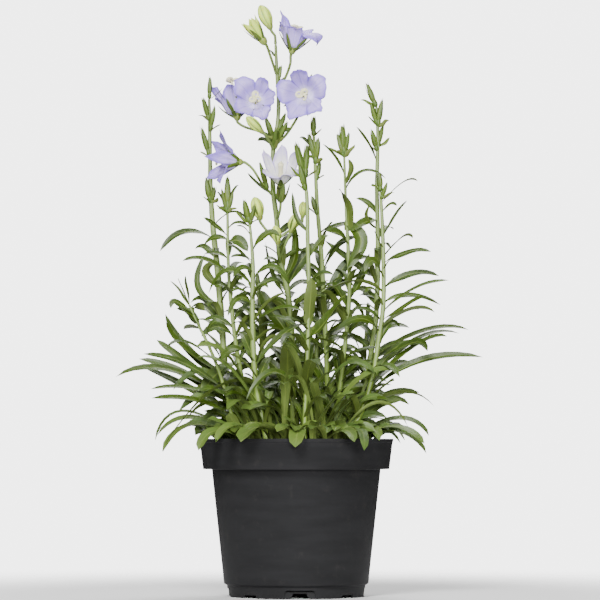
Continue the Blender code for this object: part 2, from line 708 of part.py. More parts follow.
def stem_spline(name):
    points = [(place(x, y, z), radius * STEM_THICKNESS) for x, y, z, radius in STEMS[name]]
    first, radius = points[0]
    foot = Vector((first.x, first.y, (compost_top() + CLEARANCE) * MM))
    return [(foot, radius)] + points


def spindle(base, tip, radius):
    """A closed bud between two points: thin ends, full middle."""
    outline = ((0.0, 0.35), (0.22, 0.85), (0.45, 1.0), (0.75, 0.66), (1.0, 0.16))
    return [(base.lerp(tip, share), radius * part) for share, part in outline]


def stalk_spline(flower):
    axis = Vector((FLOWERS | BUDS)[flower][0]).normalized()
    points = [place(*row) for row in STALKS[flower]]
    end = points.pop()
    points += [end - axis * back * MM for back in (STALK_NECK, CLEARANCE)]
    return [(point, STALK_RADIUS * STEM_THICKNESS) for point in points]


def side_splines(name):
    splines = []
    if name == "shoot_main":
        splines += [stalk_spline(flower) for flower in STALKS]
    for base, tip, radius in GREEN_BUDS[name]:
        splines.append(spindle(place(*base), place(*tip), radius))
    return splines


def join_to_stem(name, stem, extras, parts, helpers):
    """The shoot: a stem with its leaves, buds and stalks grown together."""
    shoot = add_object(name, stem, parts)
    helper = add_object(f"{name}_growth", extras, helpers)
    hide_helper(helper)
    union = shoot.modifiers.new("grow_together", "BOOLEAN")
    union.operation = "UNION"
    union.solver = "EXACT"
    union.use_self = True
    union.object = helper
    finish(shoot)
    return shoot


def growth_mesh(name, blades, splines):
    """Leaves and side tubes of one shoot in a single mesh."""
    shape = bmesh.new()
    for path, width in blades:
        blade(shape, path, width)
    bmesh.ops.recalc_face_normals(shape, faces=shape.faces)
    if splines:
        shape.from_mesh(tube_mesh(f"{name}_tubes", splines))
    return mesh_from_bmesh(f"{name}_growth", shape)


# ---- flowers ----

def aim(axis, roll=0.0):
    """A rotation that takes +Z to the axis, after a turn about it."""
    turn = Vector(axis).normalized().to_track_quat("Z", "Y").to_matrix().to_4x4()
    return turn @ Matrix.Rotation(math.radians(roll), 4, "Z")


def bell_outline(length, mouth):
    """Radius and height of the bell from its throat to its lobes."""
    return [
        (1.9, 0.0), (0.42 * mouth, 0.12 * length), (0.66 * mouth, 0.42 * length),
        (0.82 * mouth, 0.75 * length), (mouth, length),
    ]


def make_corolla(flower, parts):
    axis, length, mouth, lobe, roll = FLOWERS[flower]
    shape = bmesh.new()
    outline = bell_outline(length, mouth)
    column = [shape.verts.new((radius * MM, 0.0, height * MM)) for radius, height in outline]
    edges = [shape.edges.new(pair) for pair in zip(column, column[1:])]
    bmesh.ops.spin(
        shape, geom=column + edges, cent=(0, 0, 0), axis=(0, 0, 1),
        angle=math.tau, steps=LOBES * STEPS_PER_LOBE, use_merge=True,
    )
    close_throat(shape)
    shape_lobes(shape, length, mouth, lobe)
    face_outwards(shape)
    lift = Matrix.Translation((0.0, 0.0, (OVARY_LENGTH + CLEARANCE) * MM))
    home = Matrix.Translation(flower_base(flower)) @ aim(axis, roll) @ lift
    bmesh.ops.transform(shape, matrix=home, verts=shape.verts)
    name = f"{flower}_petals"
    corolla = add_object(name, mesh_from_bmesh(name, shape), parts)
    wall = corolla.modifiers.new("wall", "SOLIDIFY")
    wall.thickness = PETAL_THICKNESS * MM
    wall.offset = -1.0
    finish(corolla)
    return corolla


def close_throat(shape):
    lowest = min(vert.co.z for vert in shape.verts)
    ring = [edge for edge in shape.edges if all(v.co.z < lowest + 1e-6 for v in edge.verts)]
    bmesh.ops.holes_fill(shape, edges=ring, sides=0)


def face_outwards(shape):
    """Turn the open bell's faces so that its closed throat faces down the axis."""
    bmesh.ops.recalc_face_normals(shape, faces=shape.faces)
    throat = min(shape.faces, key=lambda face: face.calc_center_median().z)
    if throat.normal.z > 0.0:
        bmesh.ops.reverse_faces(shape, faces=shape.faces)


def shape_lobes(shape, length, mouth, lobe):
    """Push the rim out between the notches, more the nearer it is to the rim."""
    for vert in shape.verts:
        share = vert.co.z / (length * MM)
        if share < 0.4:
            continue
        angle = math.atan2(vert.co.y, vert.co.x)
        crest = 0.5 + 0.5 * math.cos(LOBES * angle)
        grow = crest * ((share - 0.4) / 0.6) ** 2
        radius = math.hypot(vert.co.x, vert.co.y)
        scale = 1.0 + grow * 0.7 * lobe * MM / radius
        vert.co = Vector((vert.co.x * scale, vert.co.y * scale, vert.co.z + grow * 0.6 * lobe * MM))


def flower_base(flower):
    return place(*STALKS[flower][-1])


def make_calyx(flower, parts, helpers):
    """The ovary with its five sepals."""
    axis = Vector(FLOWERS[flower][0]).normalized()
    base = flower_base(flower)
    outline = ((0.0, 0.35), (0.3, 0.8), (0.75, 1.0), (1.0, 0.9))
    points = [
        (base + axis * share * OVARY_LENGTH * MM, OVARY_RADIUS * part) for share, part in outline
    ]
    name = f"{flower}_calyx"
    sepals = bmesh.new()
    turn = aim(axis, FLOWERS[flower][4] + 180.0 / LOBES)
    for index in range(LOBES):
        spin = turn @ Matrix.Rotation(index * math.tau / LOBES, 4, "Z")
        local = [
            Vector((0.5 * OVARY_RADIUS, 0.0, 0.5 * OVARY_LENGTH)),
            Vector((0.75 * SEPAL_LENGTH, 0.0, 0.55 * OVARY_LENGTH + 0.12 * SEPAL_LENGTH)),
            Vector((1.25 * SEPAL_LENGTH, 0.0, 0.6 * OVARY_LENGTH + 0.45 * SEPAL_LENGTH)),
        ]
        start, middle, tip = [base + (spin @ (point * MM)) for point in local]
        sepal_blade(sepals, start, middle, tip, spin)
    bmesh.ops.recalc_face_normals(sepals, faces=sepals.faces)
    stem = tube_mesh(name, [points])
    return join_to_stem(name, stem, mesh_from_bmesh(f"{name}_sepals", sepals), parts, helpers)


def sepal_blade(shape, start, middle, tip, spin):
    """A narrow leaf whose flat side faces the bell."""
    control = middle * 2.0 - (start + tip) * 0.5
    side = (spin @ Vector((0.0, 1.0, 0.0))).normalized()
    rings = []
    for share, part in BLADE_RINGS[:1] + BLADE_RINGS[2:]:
        point = start * (1 - share) ** 2 + control * 2 * share * (1 - share) + tip * share**2
        along = ((control - start) * (1 - share) + (tip - control) * share).normalized()
        keel = side.cross(along) * BLADE_THICKNESS * MM
        half = side * 0.5 * SEPAL_WIDTH * part * MM
        rings.append([shape.verts.new(c) for c in (point - half, point + half, point + keel)])
    end = shape.verts.new(tip)
    shape.faces.new(rings[0])
    for lower, upper in zip(rings, rings[1:]):
        for index in range(3):
            after = (index + 1) % 3
            shape.faces.new((lower[after], lower[index], upper[index], upper[after]))
    for index in range(3):
        shape.faces.new((rings[-1][(index + 1) % 3], rings[-1][index], end))


def make_pistil(flower, parts):
    """Style and stigma, standing free inside the bell."""
    axis, length, _mouth, _lobe, _roll = FLOWERS[flower]
    axis = Vector(axis).normalized()
    foot = OVARY_LENGTH + CLEARANCE + PETAL_THICKNESS + 3.0 * CLEARANCE
    outline = ((0.0, PISTIL_RADIUS), (0.7, PISTIL_RADIUS), (0.85, STIGMA_RADIUS), (1.0, 0.8))
    base = flower_base(flower)
    points = [
        (base + axis * (foot + share * (length - 1.0)) * MM, radius) for share, radius in outline
    ]
    name = f"{flower}_pistil"
    pistil = add_object(name, tube_mesh(name, [points]), parts)
    finish(pistil)
    return pistil


def make_bud(bud, parts):
    axis, length, radius = BUDS[bud]
    base = flower_base(bud)
    tip = base + Vector(axis).normalized() * length * MM
    piece = add_object(bud, tube_mesh(bud, [spindle(base, tip, radius)]), parts)
    finish(piece)
    return piece


# ---- the whole plant ----

def make_flowers(parts, helpers, crowd):
    for flower in FLOWERS:
        crowd.add_object(make_corolla(flower, parts))
        crowd.add_object(make_calyx(flower, parts, helpers))
        crowd.add_object(make_pistil(flower, parts))
    for bud in BUDS:
        crowd.add_object(make_bud(bud, parts))


def add_stems(crowd):
    """The bare stems, with their stalks and green buds, as obstacles for the leaves."""
    stems = {}
    for name in STEMS:
        stems[name] = tube_mesh(name, [stem_spline(name)])
        shape = bmesh.new()
        shape.from_mesh(stems[name])
        splines = side_splines(name)
        if splines:
            shape.from_mesh(tube_mesh(f"{name}_sides", splines))
        crowd.add(name, shape)
        shape.free()
    return stems


def make_plant(parts, helpers, crowd):
    stems = add_stems(crowd)
    tries = nudges()
    blades = {name: [] for name in STEMS}
    for name in STEMS:
        blades[name] += [settle_leaf(name, leaf, crowd, tries) for leaf in drawn_leaves(name)]
    for number, leaf in enumerate(basal_leaves(), start=1):
        name = f"basal_leaf_{number:02d}"
        shape = bmesh.new()
        path, width = settle_leaf(name, leaf, crowd, tries)
        blade(shape, path, width)
        bmesh.ops.recalc_face_normals(shape, faces=shape.faces)
        finish(add_object(name, mesh_from_bmesh(name, shape), parts))
    for name in STEMS:
        blades[name] += [settle_leaf(name, leaf, crowd, tries) for leaf in spiral_leaves(name)]
    for name, stem in stems.items():
        extras = growth_mesh(name, blades[name], side_splines(name))
        join_to_stem(name, stem, extras, parts, helpers)


def main():
    for old in list(bpy.data.objects):
        bpy.data.objects.remove(old)
    parts = new_collection("potted_bellflower")
    cutters = new_collection("helpers")
    crowd = Crowd()
    crowd.add_object(make_pot(parts, cutters))
    crowd.add_object(make_compost(parts))
    make_flowers(parts, cutters, crowd)
    make_plant(parts, cutters, crowd)


main()
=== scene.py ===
"""Potted bellflower: the finished look of the plant, its pot and its compost.

Lengths in the tables are millimetres. Pieces are built in metres, +Z up, round the
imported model: every shoot, leaf and flower grows where its solid is.
"""

import math
import random

import bmesh
import bpy
from mathutils import Matrix, Vector, noise
from mathutils.bvhtree import BVHTree


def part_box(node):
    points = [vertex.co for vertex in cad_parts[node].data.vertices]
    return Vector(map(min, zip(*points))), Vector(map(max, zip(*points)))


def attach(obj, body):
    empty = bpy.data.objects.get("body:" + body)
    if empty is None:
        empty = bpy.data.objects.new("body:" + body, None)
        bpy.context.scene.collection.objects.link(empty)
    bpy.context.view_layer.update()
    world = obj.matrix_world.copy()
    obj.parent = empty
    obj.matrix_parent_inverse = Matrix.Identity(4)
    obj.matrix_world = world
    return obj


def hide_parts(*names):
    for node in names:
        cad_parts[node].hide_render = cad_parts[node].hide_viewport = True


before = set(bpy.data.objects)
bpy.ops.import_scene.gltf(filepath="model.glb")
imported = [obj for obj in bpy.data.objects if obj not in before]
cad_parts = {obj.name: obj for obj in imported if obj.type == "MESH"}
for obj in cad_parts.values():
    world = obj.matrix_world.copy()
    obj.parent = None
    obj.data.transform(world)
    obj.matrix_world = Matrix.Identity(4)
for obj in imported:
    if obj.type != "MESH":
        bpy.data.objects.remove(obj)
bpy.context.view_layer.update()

bl_info = {
    "name": "Potted Bellflower",
    "version": (1, 0, 0),
    "blender": (4, 5, 0),
    "location": "View3D > Sidebar > Bellflower",
    "description": "Builds a bellflower clump in a nursery pot",
    "category": "Add Mesh",
}

MM = 0.001
COMPOST_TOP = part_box("compost")[1].z
COMPOST_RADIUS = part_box("compost")[1].x - 0.4 * MM
RIM_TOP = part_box("pot")[1].z
RIM_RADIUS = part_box("pot")[1].x
GOLDEN_ANGLE = 137.5
FLOOR_RADIUS = 0.8
# How low leaves hang outside the rim, in mm
LOWEST_TIP = 148.0
# The first notch under the pot, in degrees round it
NOTCH_TURN = -87.0

# ---------------------------------------------------------------- the plant's layout

# Stems, from the compost up: (x, y, z, radius)
STEMS = {
    "shoot_main": [
        (-2, 18, 147, 3.2), (-4, 16, 210, 3.1), (-5, 14, 262, 3), (-9, 12, 300, 2.9),
        (-16, 9, 330, 2.8), (-19.5, 5, 370, 2.6), (-23, 2, 400, 2.5), (-22.5, 2, 440, 2.2),
        (-18.5, 5, 462, 2), (-17.5, 7, 485, 1.9), (-19, 5, 512, 1.7), (-20.5, 2, 546, 1.3),
    ],
    "shoot_tall_left": [
        (-56, 14, 147, 3), (-61, 14, 185, 3.2), (-69, 15, 215, 3.2), (-73, 16, 262, 3.2),
        (-77.5, 18, 318, 3.1), (-82, 20, 360, 2.8), (-84.5, 20, 400, 2.4), (-85.5, 20, 460, 1.8),
        (-86, 20, 492, 1.3),
    ],
    "shoot_slim_left": [
        (-46, -14, 147, 2.2), (-52, -15, 205, 2.2), (-58, -16, 240, 2.1), (-63, -18, 280, 2),
        (-66, -20, 320, 1.6), (-67, -21, 378, 1.3),
    ],
    "shoot_pale_left": [
        (-28, -41, 147, 2.8), (-33, -40, 175, 2.8), (-39, -38, 205, 2.8), (-42, -36, 250, 2.7),
        (-42.5, -34, 290, 2.5), (-42, -32, 320, 2), (-44, -30, 350, 1.4), (-46, -29, 368, 1.2),
    ],
    "shoot_front": [
        (8, -58, 147, 2.4), (8.5, -57, 180, 2.3), (10, -55, 220, 2.2), (11.5, -53, 260, 2.2),
        (12, -51, 310, 2.1), (11, -49, 345, 2), (10.5, -47, 380, 1.9), (8, -46, 410, 1.5),
    ],
    "shoot_back_middle": [
        (32, 36, 147, 2.5), (30, 35, 230, 2.5), (27, 34, 300, 2.4), (24.5, 33, 340, 2.2),
        (21, 32, 380, 2), (19, 31, 420, 1.7), (17, 30, 460, 1.3),
    ],
    "shoot_right_middle": [
        (36, 12, 147, 2.3), (45, 14, 220, 2.3), (52, 16, 290, 2.1), (51, 16, 340, 1.9),
        (49, 15, 380, 1.5), (47, 14, 436, 1.1),
    ],
    "shoot_right_tall": [
        (46, 30, 147, 2.8), (62, 28, 190, 2.8), (74, 26, 240, 2.7), (79, 25, 280, 2.6),
        (80.5, 24, 340, 2.4), (79.5, 23, 400, 2.1), (80.5, 22, 450, 1.7), (79, 22, 484, 1.3),
    ],
    "shoot_right_front": [
        (48, -36, 147, 2.5), (57, -34, 166, 2.5), (67, -31, 190, 2.5), (75, -28, 218, 2.4),
        (80, -24, 250, 2.4), (84.5, -20, 282, 2.3), (85, -17, 320, 2.1), (84, -14, 360, 1.8),
        (82, -12, 398, 1.4),
    ],
    "shoot_low_left": [
        (-56, -38, 147, 1.8), (-66, -39, 190, 1.7), (-76, -40, 222, 1.6), (-86, -41, 246, 1.5),
        (-95, -42, 264, 1.3), (-104, -43, 284, 1.1),
    ],
    "shoot_back_left": [
        (-28, 54, 147, 2.6), (-33, 57, 200, 2.6), (-35, 60, 260, 2.3), (-38, 62, 305, 1.6),
    ],
    "shoot_back_right": [
        (14, 68, 147, 2.5), (19, 72, 200, 2.4), (21, 75, 260, 2.1), (24, 76, 312, 1.5),
    ],
    "shoot_far_right": [
        (58, 58, 147, 2.3), (64, 62, 190, 2.2), (68, 64, 235, 2), (71, 65, 278, 1.4),
    ],
}

# Flower stalks on the main stem, up to each flower or bud
STALKS = {
    "flower_1": [(-20, 3.5, 448), (-34, 24, 456), (-50, 27, 461), (-58, 28, 468)],
    "flower_2": [(-21.5, 3, 442), (-27, 16, 462), (-36, 21, 480), (-40, 15, 484)],
    "flower_3": [(-22, 3, 440), (-10, 9, 452), (2, 19, 472), (9, 18, 492)],
    "flower_4": [(-18.3, 6, 498), (-11, 0, 507), (-6, -4, 520), (-5, -5, 530)],
    "flower_5": [(-22, 3, 391), (-33, -8, 402), (-42, -12, 416), (-52, -12, 423)],
    "flower_6": [(-19, 5.5, 368), (-16, -10, 376), (-15, -17, 388), (-15, -18, 398)],
    "bud_1": [(-20.4, 2.5, 540), (-21, 5, 549), (-25, 9, 556)],
    "bud_2": [(-19, 5, 510), (-24, -3, 524), (-30, -8, 539)],
    "bud_3": [(-22, 2, 436), (-26, -9, 443), (-32, -17, 451)],
    "bud_4": [(-18, 7, 346), (-25, -9, 352), (-35, -14, 366)],
    "bud_5": [(-15.5, 9.5, 326), (-17, -6, 332), (-18, -12, 342)],
    "bud_6": [(-16, 9, 330), (-11, -7, 342), (-6, -12, 354)],
    "bud_7": [(-17.5, 8, 350), (-6, 6, 358), (5, -2, 365), (6, -4, 369)],
}

# Green buds: base, tip, radius
GREEN_BUDS = {
    "shoot_main": [
        ((-21, 3.5, 444), (-31, -4, 470), 3), ((-21, 3.5, 442), (-8, -6, 464), 3),
        ((-20, 4, 452), (-10, 12, 474), 2.8), ((-22, 2, 436), (-19, -9, 458), 3),
        ((-18.5, 6, 502), (-15, 9, 521), 2.3), ((-28, -5, 396), (-36, -14, 424), 2.8),
    ],
    "shoot_tall_left": [
        ((-86, 20, 488), (-85, 20, 511), 2.4), ((-86, 20, 466), (-92, 16, 490), 2.6),
        ((-85.5, 20, 455), (-80, 16, 482), 2.6), ((-85, 20, 430), (-94, 16, 461), 2.8),
        ((-84.6, 20, 385), (-89, 15, 411), 3), ((-84.6, 20, 384), (-80, 16, 402), 2.6),
    ],
    "shoot_slim_left": [
        ((-67, -21, 374), (-67, -21, 410), 3.5), ((-67, -21, 372), (-73, -24, 397), 2.2),
        ((-67, -21, 372), (-61, -24, 395), 2.2),
    ],
    "shoot_pale_left": [
        ((-45.5, -29, 362), (-51, -31, 386), 3.3), ((-45.5, -29, 360), (-40, -33, 381), 2.4),
    ],
    "shoot_front": [
        ((8, -46, 404), (-1, -49, 441), 3.6), ((8, -46, 404), (11, -44, 439), 3.4),
        ((9, -46.5, 392), (3, -52, 418), 3.2),
    ],
    "shoot_back_middle": [
        ((17, 30, 452), (17, 29, 473), 3), ((18.5, 31, 424), (22, 27, 452), 3.3),
        ((18.5, 31, 428), (12, 28, 456), 2.8), ((21, 32, 374), (15, 28, 394), 2.8),
        ((19.5, 31, 408), (24, 35, 430), 2.6),
    ],
    "shoot_right_middle": [
        ((47, 14, 432), (45, 13, 463), 3.6), ((47, 14, 430), (52, 10, 455), 2.4),
        ((47, 14, 430), (40, 12, 454), 2.4),
    ],
    "shoot_right_tall": [
        ((79.2, 22, 480), (69, 21, 505), 3), ((80, 22, 462), (73, 18, 486), 2.8),
        ((80, 22, 460), (85, 19, 489), 2.8), ((80, 22, 436), (74, 18, 459), 2.8),
        ((80, 22, 440), (86, 26, 464), 2.5),
    ],
    "shoot_right_front": [
        ((82, -12, 394), (81, -13, 414), 2.8), ((82.5, -12.5, 386), (89, -16, 404), 2.2),
    ],
    "shoot_low_left": [],
    "shoot_back_left": [((-38, 62, 300), (-39, 63, 320), 2.6)],
    "shoot_back_right": [((24, 76, 306), (24, 77, 327), 2.6)],
    "shoot_far_right": [((71, 65, 272), (72, 66, 290), 2.3)],
}

# Leaves drawn one by one: height on the stem, half-way point (x, z), tip (x, z),
# how far the tip lies behind the stem, width
LEAVES = {
    "shoot_main": [
        (440, -31, 446, -38, 445, -6, 3), (436, -30, 451, -36, 453, 8, 3),
        (446, -12, 456, -5, 458, 6, 3), (528, -24, 532, -27, 536, 2, 2.5),
        (392, -38, 402, -48, 414, -2, 4), (195, -9, 225, -5, 252, -34, 10),
        (352, -10, 362, -2, 366, 12, 4), (300, 6, 330, 22, 342, 8, 7),
        (290, -24, 316, -30, 346, -6, 7), (270, 12, 296, 32, 306, -12, 6),
        (250, -24, 280, -36, 300, 10, 8), (310, 0, 340, -3, 366, 6, 6),
    ],
    "shoot_tall_left": [
        (350, -110, 356, -134, 337, -12, 5), (362, -62, 377, -47, 366, 8, 3.5),
        (285, -97, 303, -90, 336, 10, 4), (303, -88, 318, -76, 327, -8, 5),
        (188, -128, 222, -177, 214, -4, 5), (205, -110, 245, -129, 276, 12, 5),
        (215, -112, 243, -128, 268, -8, 6), (192, -108, 228, -138, 251, 20, 6),
        (184, -112, 216, -155, 232, 8, 6), (176, -110, 206, -151, 224, 28, 5),
        (240, -96, 262, -112, 262, 34, 6), (262, -92, 284, -106, 280, 26, 5),
    ],
    "shoot_slim_left": [
        (350, -79, 361, -90, 368, -6, 4), (346, -80, 349, -91, 340, 10, 4),
        (344, -56, 345, -47, 335, -8, 7), (313, -88, 327, -110, 326, -10, 4.5),
        (292, -70, 302, -79, 300, -14, 7), (226, -77, 216, -91, 194, -20, 10),
        (172, -78, 188, -105, 174, -26, 8), (376, -73, 388, -77, 393, -4, 2.5),
        (380, -60, 396, -56, 400, 3, 2.5), (250, -76, 262, -92, 252, -16, 6),
    ],
    "shoot_pale_left": [
        (358, -57, 363, -66, 357, 6, 3.5), (350, -51, 358, -58, 359, -8, 3),
        (322, -56, 336, -67, 341, -6, 5), (315, -52, 319, -61, 309, -14, 4),
        (300, -66, 316, -85, 294, 4, 5), (288, -53, 297, -62, 295, -14, 4),
        (282, -55, 290, -66, 272, -6, 5), (334, -29, 352, -16, 349, -6, 5),
        (307, -24, 319, -6, 301, -10, 5), (293, -28, 306, -14, 303, 6, 4),
        (263, -18, 278, 6, 276, -22, 5), (245, -24, 258, -11, 255, -18, 4),
        (204, -78, 201, -125, 149, -34, 7), (226, -58, 240, -72, 228, -30, 6),
    ],
    "shoot_front": [
        (262, 14, 286, 15, 308, -12, 8), (212, 31, 237, 49, 259, -26, 5),
        (264, -15, 252, -38, 224, -22, 5), (352, 1, 368, -4, 392, 6, 3),
        (326, 24, 344, 31, 350, 10, 4), (248, 28, 266, 48, 291, -16, 8),
        (185, -20, 217, -48, 190, -18, 5), (200, 14, 226, 22, 222, -92, 7),
        (236, -4, 252, -14, 240, -62, 6),
    ],
    "shoot_back_middle": [
        (357, 49, 366, 68, 357, 6, 4), (440, 12, 454, 8, 461, -5, 2.5),
        (436, 9, 449, 3, 451, 4, 2.5), (356, 31, 362, 36, 367, -8, 3.5),
        (318, 44, 346, 62, 352, -4, 6), (286, 44, 318, 56, 332, 10, 7),
        (300, 10, 322, -2, 324, 14, 6),
    ],
    "shoot_right_middle": [
        (412, 38, 430, 26, 443, -6, 3), (404, 54, 416, 51, 428, -8, 4),
        (398, 66, 416, 88, 409, -6, 4), (358, 50, 382, 42, 398, -14, 9),
        (366, 63, 345, 50, 320, -12, 8), (343, 41, 355, 29, 357, -8, 6),
        (230, 58, 231, 70, 217, -12, 5), (292, 64, 310, 72, 336, 2, 6),
        (262, 36, 290, 24, 296, -14, 7),
    ],
    "shoot_right_tall": [
        (425, 71, 444, 59, 461, -6, 3), (372, 72, 386, 59, 391, 8, 4),
        (368, 67, 366, 53, 357, -12, 6), (312, 60, 325, 28, 350, 16, 5),
        (360, 69, 370, 73, 385, -14, 4), (232, 128, 260, 171, 261, 14, 5),
        (208, 120, 251, 163, 258, 32, 5), (250, 100, 276, 122, 282, 34, 6),
    ],
    "shoot_right_front": [
        (383, 105, 404, 119, 405, 8, 3.5), (374, 92, 381, 98, 380, -8, 3),
        (350, 99, 373, 108, 385, -6, 4), (330, 104, 350, 114, 349, 8, 5),
        (324, 108, 335, 131, 335, -8, 4), (299, 112, 314, 139, 312, 6, 4.5),
        (276, 115, 299, 148, 307, -12, 4.5), (284, 108, 294, 141, 284, 16, 4),
        (268, 108, 283, 123, 291, -20, 4), (260, 112, 279, 135, 276, 4, 4.5),
        (308, 75, 326, 66, 315, -10, 6), (295, 60, 306, 32, 297, -14, 5),
        (268, 67, 278, 53, 277, -8, 5), (256, 63, 270, 38, 257, -18, 5),
        (338, 79, 349, 76, 355, -8, 4), (206, 115, 242, 145, 252, -24, 6),
        (226, 112, 245, 126, 237, -38, 5), (196, 122, 229, 181, 232, -6, 5),
        (184, 84, 203, 94, 209, -34, 5), (182, 103, 198, 132, 184, -44, 6),
    ],
    "shoot_low_left": [
        (200, -108, 226, -147, 235, -10, 5), (190, -104, 202, -140, 201, -16, 4.5),
        (176, -98, 190, -138, 192, -34, 5), (272, -115, 285, -121, 279, -6, 4),
        (262, -107, 275, -117, 283, -12, 5), (265, -99, 279, -88, 277, 8, 8),
        (282, -106, 300, -107, 311, 0, 2.5), (283, -111, 300, -114, 308, -6, 2.5),
        (281, -113, 296, -122, 306, 6, 2.5), (228, -106, 246, -124, 240, -30, 4.5),
    ],
    "shoot_back_left": [
        (180, -60, 212, -92, 222, 52, 7), (196, -30, 228, -34, 234, 88, 7),
        (250, -56, 276, -74, 280, 24, 6),
    ],
    "shoot_back_right": [
        (176, 30, 208, 40, 214, 80, 7), (200, -2, 236, -20, 246, 54, 7),
        (236, 40, 262, 56, 266, 40, 6),
    ],
    "shoot_far_right": [
        (170, 92, 196, 124, 200, 44, 7), (190, 90, 222, 116, 232, 62, 6),
        (224, 96, 246, 112, 246, 20, 6),
    ],
}

# Leaves that follow the spiral of each stem: lowest height, highest height, count,
# lowest leaf's length, highest leaf's length, width, first direction
SPIRALS = {
    "shoot_main": (168, 340, 9, 66, 34, 6, 20),
    "shoot_tall_left": (226, 330, 4, 44, 30, 5, 100),
    "shoot_slim_left": (190, 330, 5, 50, 26, 5, 250),
    "shoot_pale_left": (176, 270, 3, 52, 34, 5, 215),
    "shoot_front": (172, 300, 4, 52, 30, 5.5, 300),
    "shoot_back_middle": (166, 340, 8, 66, 32, 6, 60),
    "shoot_right_middle": (176, 330, 7, 60, 30, 6, 330),
    "shoot_right_tall": (186, 350, 6, 56, 30, 5.5, 80),
    "shoot_right_front": (172, 240, 2, 52, 40, 5.5, 250),
    "shoot_low_left": (184, 250, 2, 40, 26, 4.5, 210),
    "shoot_back_left": (166, 296, 8, 74, 36, 6.5, 95),
    "shoot_back_right": (166, 300, 8, 74, 36, 6.5, 40),
    "shoot_far_right": (164, 266, 5, 66, 36, 6, 10),
}

# Leaves of the basal rosette: root (x, y), half-way point (x, z), tip (x, z),
# how far the tip lies behind the root, width
BASAL_LEAVES = [
    (34, -40, 74, 187, 107, 165, -24, 5),
    (40, -8, 94, 172, 129, 156, -10, 9),
    (40, -22, 88, 165, 123, 149, -38, 7),
    (44, -32, 88, 161, 113, 139, -44, 7),
    (28, -52, 57, 163, 64, 142, -62, 7),
    (18, -62, 44, 161, 55, 150, -52, 7),
    (1, -66, 2, 161, -1, 145, -44, 11),
    (-12, -56, -32, 164, -53, 151, -46, 16),
    (-38, -48, -74, 161, -93, 142, -40, 8),
    (-22, -60, -56, 166, -76, 150, -44, 7),
    (-42, 0, -106, 180, -138, 152, 4, 4.5),
    (-44, 22, -98, 172, -137, 157, 16, 8),
    (-40, -26, -94, 167, -129, 141, -10, 9),
    (20, -40, 32, 184, 56, 197, -26, 6),
    (-6, -34, -20, 186, -38, 202, -24, 7),
    (-12, 76, -34, 170, -52, 150, 72, 9),
    (40, 76, 62, 174, 78, 152, 62, 8),
]

# Short leaves added between the others on each stem
EXTRA_LEAVES = {
    "shoot_main": 26, "shoot_tall_left": 12, "shoot_slim_left": 12, "shoot_pale_left": 9,
    "shoot_front": 9, "shoot_back_middle": 26, "shoot_right_middle": 22,
    "shoot_right_tall": 14, "shoot_right_front": 5, "shoot_low_left": 4,
    "shoot_back_left": 22, "shoot_back_right": 22, "shoot_far_right": 14,
}

# Open flowers: axis out of the mouth, bell length, mouth radius, lobe length, flare of
# the lobes, curl of their tips, turn, paleness, height of the pistil
FLOWERS = {
    "flower_1": ((-0.14, 0.32, 0.94), 19, 16.5, 12, 50, 20, 0, 0.05, 38),
    "flower_2": ((0.0, -0.97, 0.12), 16, 17, 9, 58, 10, 66, 0.15, 17),
    "flower_3": ((-0.12, -0.97, -0.08), 17, 18.5, 10, 58, 12, 30, 0.1, 18),
    "flower_4": ((0.22, -0.1, 0.95), 17, 15.5, 15, 42, 30, -6, 0.3, 21),
    "flower_5": ((-0.97, -0.12, 0.12), 9.5, 11.5, 26, 42, 5, 0, 0.15, 19),
    "flower_6": ((0.0, -0.55, 0.83), 15, 14.5, 16, 22, 6, 90, 0.85, 22),
}

# How each of a flower's five lobes differs: flare and curl in degrees, length, width,
# and the rise of one side against the other
LOBE_SHAPES = {
    "flower_1": (
        (-24, 0, 1.2, 0.8, 0), (4, 30, 0.8, 1.0, -4), (10, 60, 1.1, 1.5, -6),
        (0, 10, 1.0, 1.4, 4), (-34, 10, 1.2, 0.8, 0),
    ),
    "flower_2": (
        (-30, 10, 1, 0.8, 0), (4, 40, 1.3, 1.15, 3), (-10, 0, 1.05, 1.1, 0),
        (20, 40, 0.8, 1.0, -2), (-34, -10, 1, 0.95, 0),
    ),
    "flower_3": (
        (16, 10, 1.1, 1.15, -2), (-30, 10, 1.4, 0.76, 0), (14, 30, 1.1, 1.1, 3),
        (-26, 60, 1.15, 1.1, 0), (-8, 30, 0.8, 0.9, 2),
    ),
    "flower_4": (
        (0, 10, 0.8, 1.25, 0), (-24, 0, 1.35, 0.95, -5), (-8, 10, 0.5, 0.85, 0),
        (-5, 20, 0.45, 0.8, 0), (22, 105, 1.4, 1.1, 5),
    ),
    "flower_5": (
        (-18, 0, 1, 0.78, 0), (20, -10, 1.05, 0.7, 7), (-6, 0, 0.8, 1.4, 0),
        (-6, 0, 0.8, 1.4, 0), (24, 10, 0.95, 0.7, -7),
    ),
    "flower_6": (
        (-12, 10, 1.1, 0.8, 0), (-4, 10, 1.05, 0.87, -3), (40, 60, 0.5, 1.23, 0),
        (46, 40, 0.55, 1.23, 0), (-8, 20, 1.05, 0.87, 3),
    ),
}

# Closed buds that carry colour: axis, length, radius
BUDS = {
    "bud_1": ((-0.4, 0.1, 0.92), 26, 5.5),
    "bud_2": ((-0.58, -0.15, 0.8), 30, 6.5),
    "bud_3": ((-0.7, -0.25, 0.66), 23, 4.2),
    "bud_4": ((-0.25, -0.1, 0.96), 23, 5.5),
    "bud_5": ((-0.15, -0.1, 0.98), 19, 4.2),
    "bud_6": ((0.3, -0.1, 0.95), 19, 4.5),
    "bud_7": ((0.05, -0.1, 0.99), 16, 4.0),
}
OPENING_BUD = "bud_2"

# Where along its length a leaf has to lie on the frame's own, and how near
BLADE_SHARES = (0.5, 0.77, 1.0)
MATCH_DISTANCE = 0.15 * MM
WELD_DISTANCE = 0.002 * MM

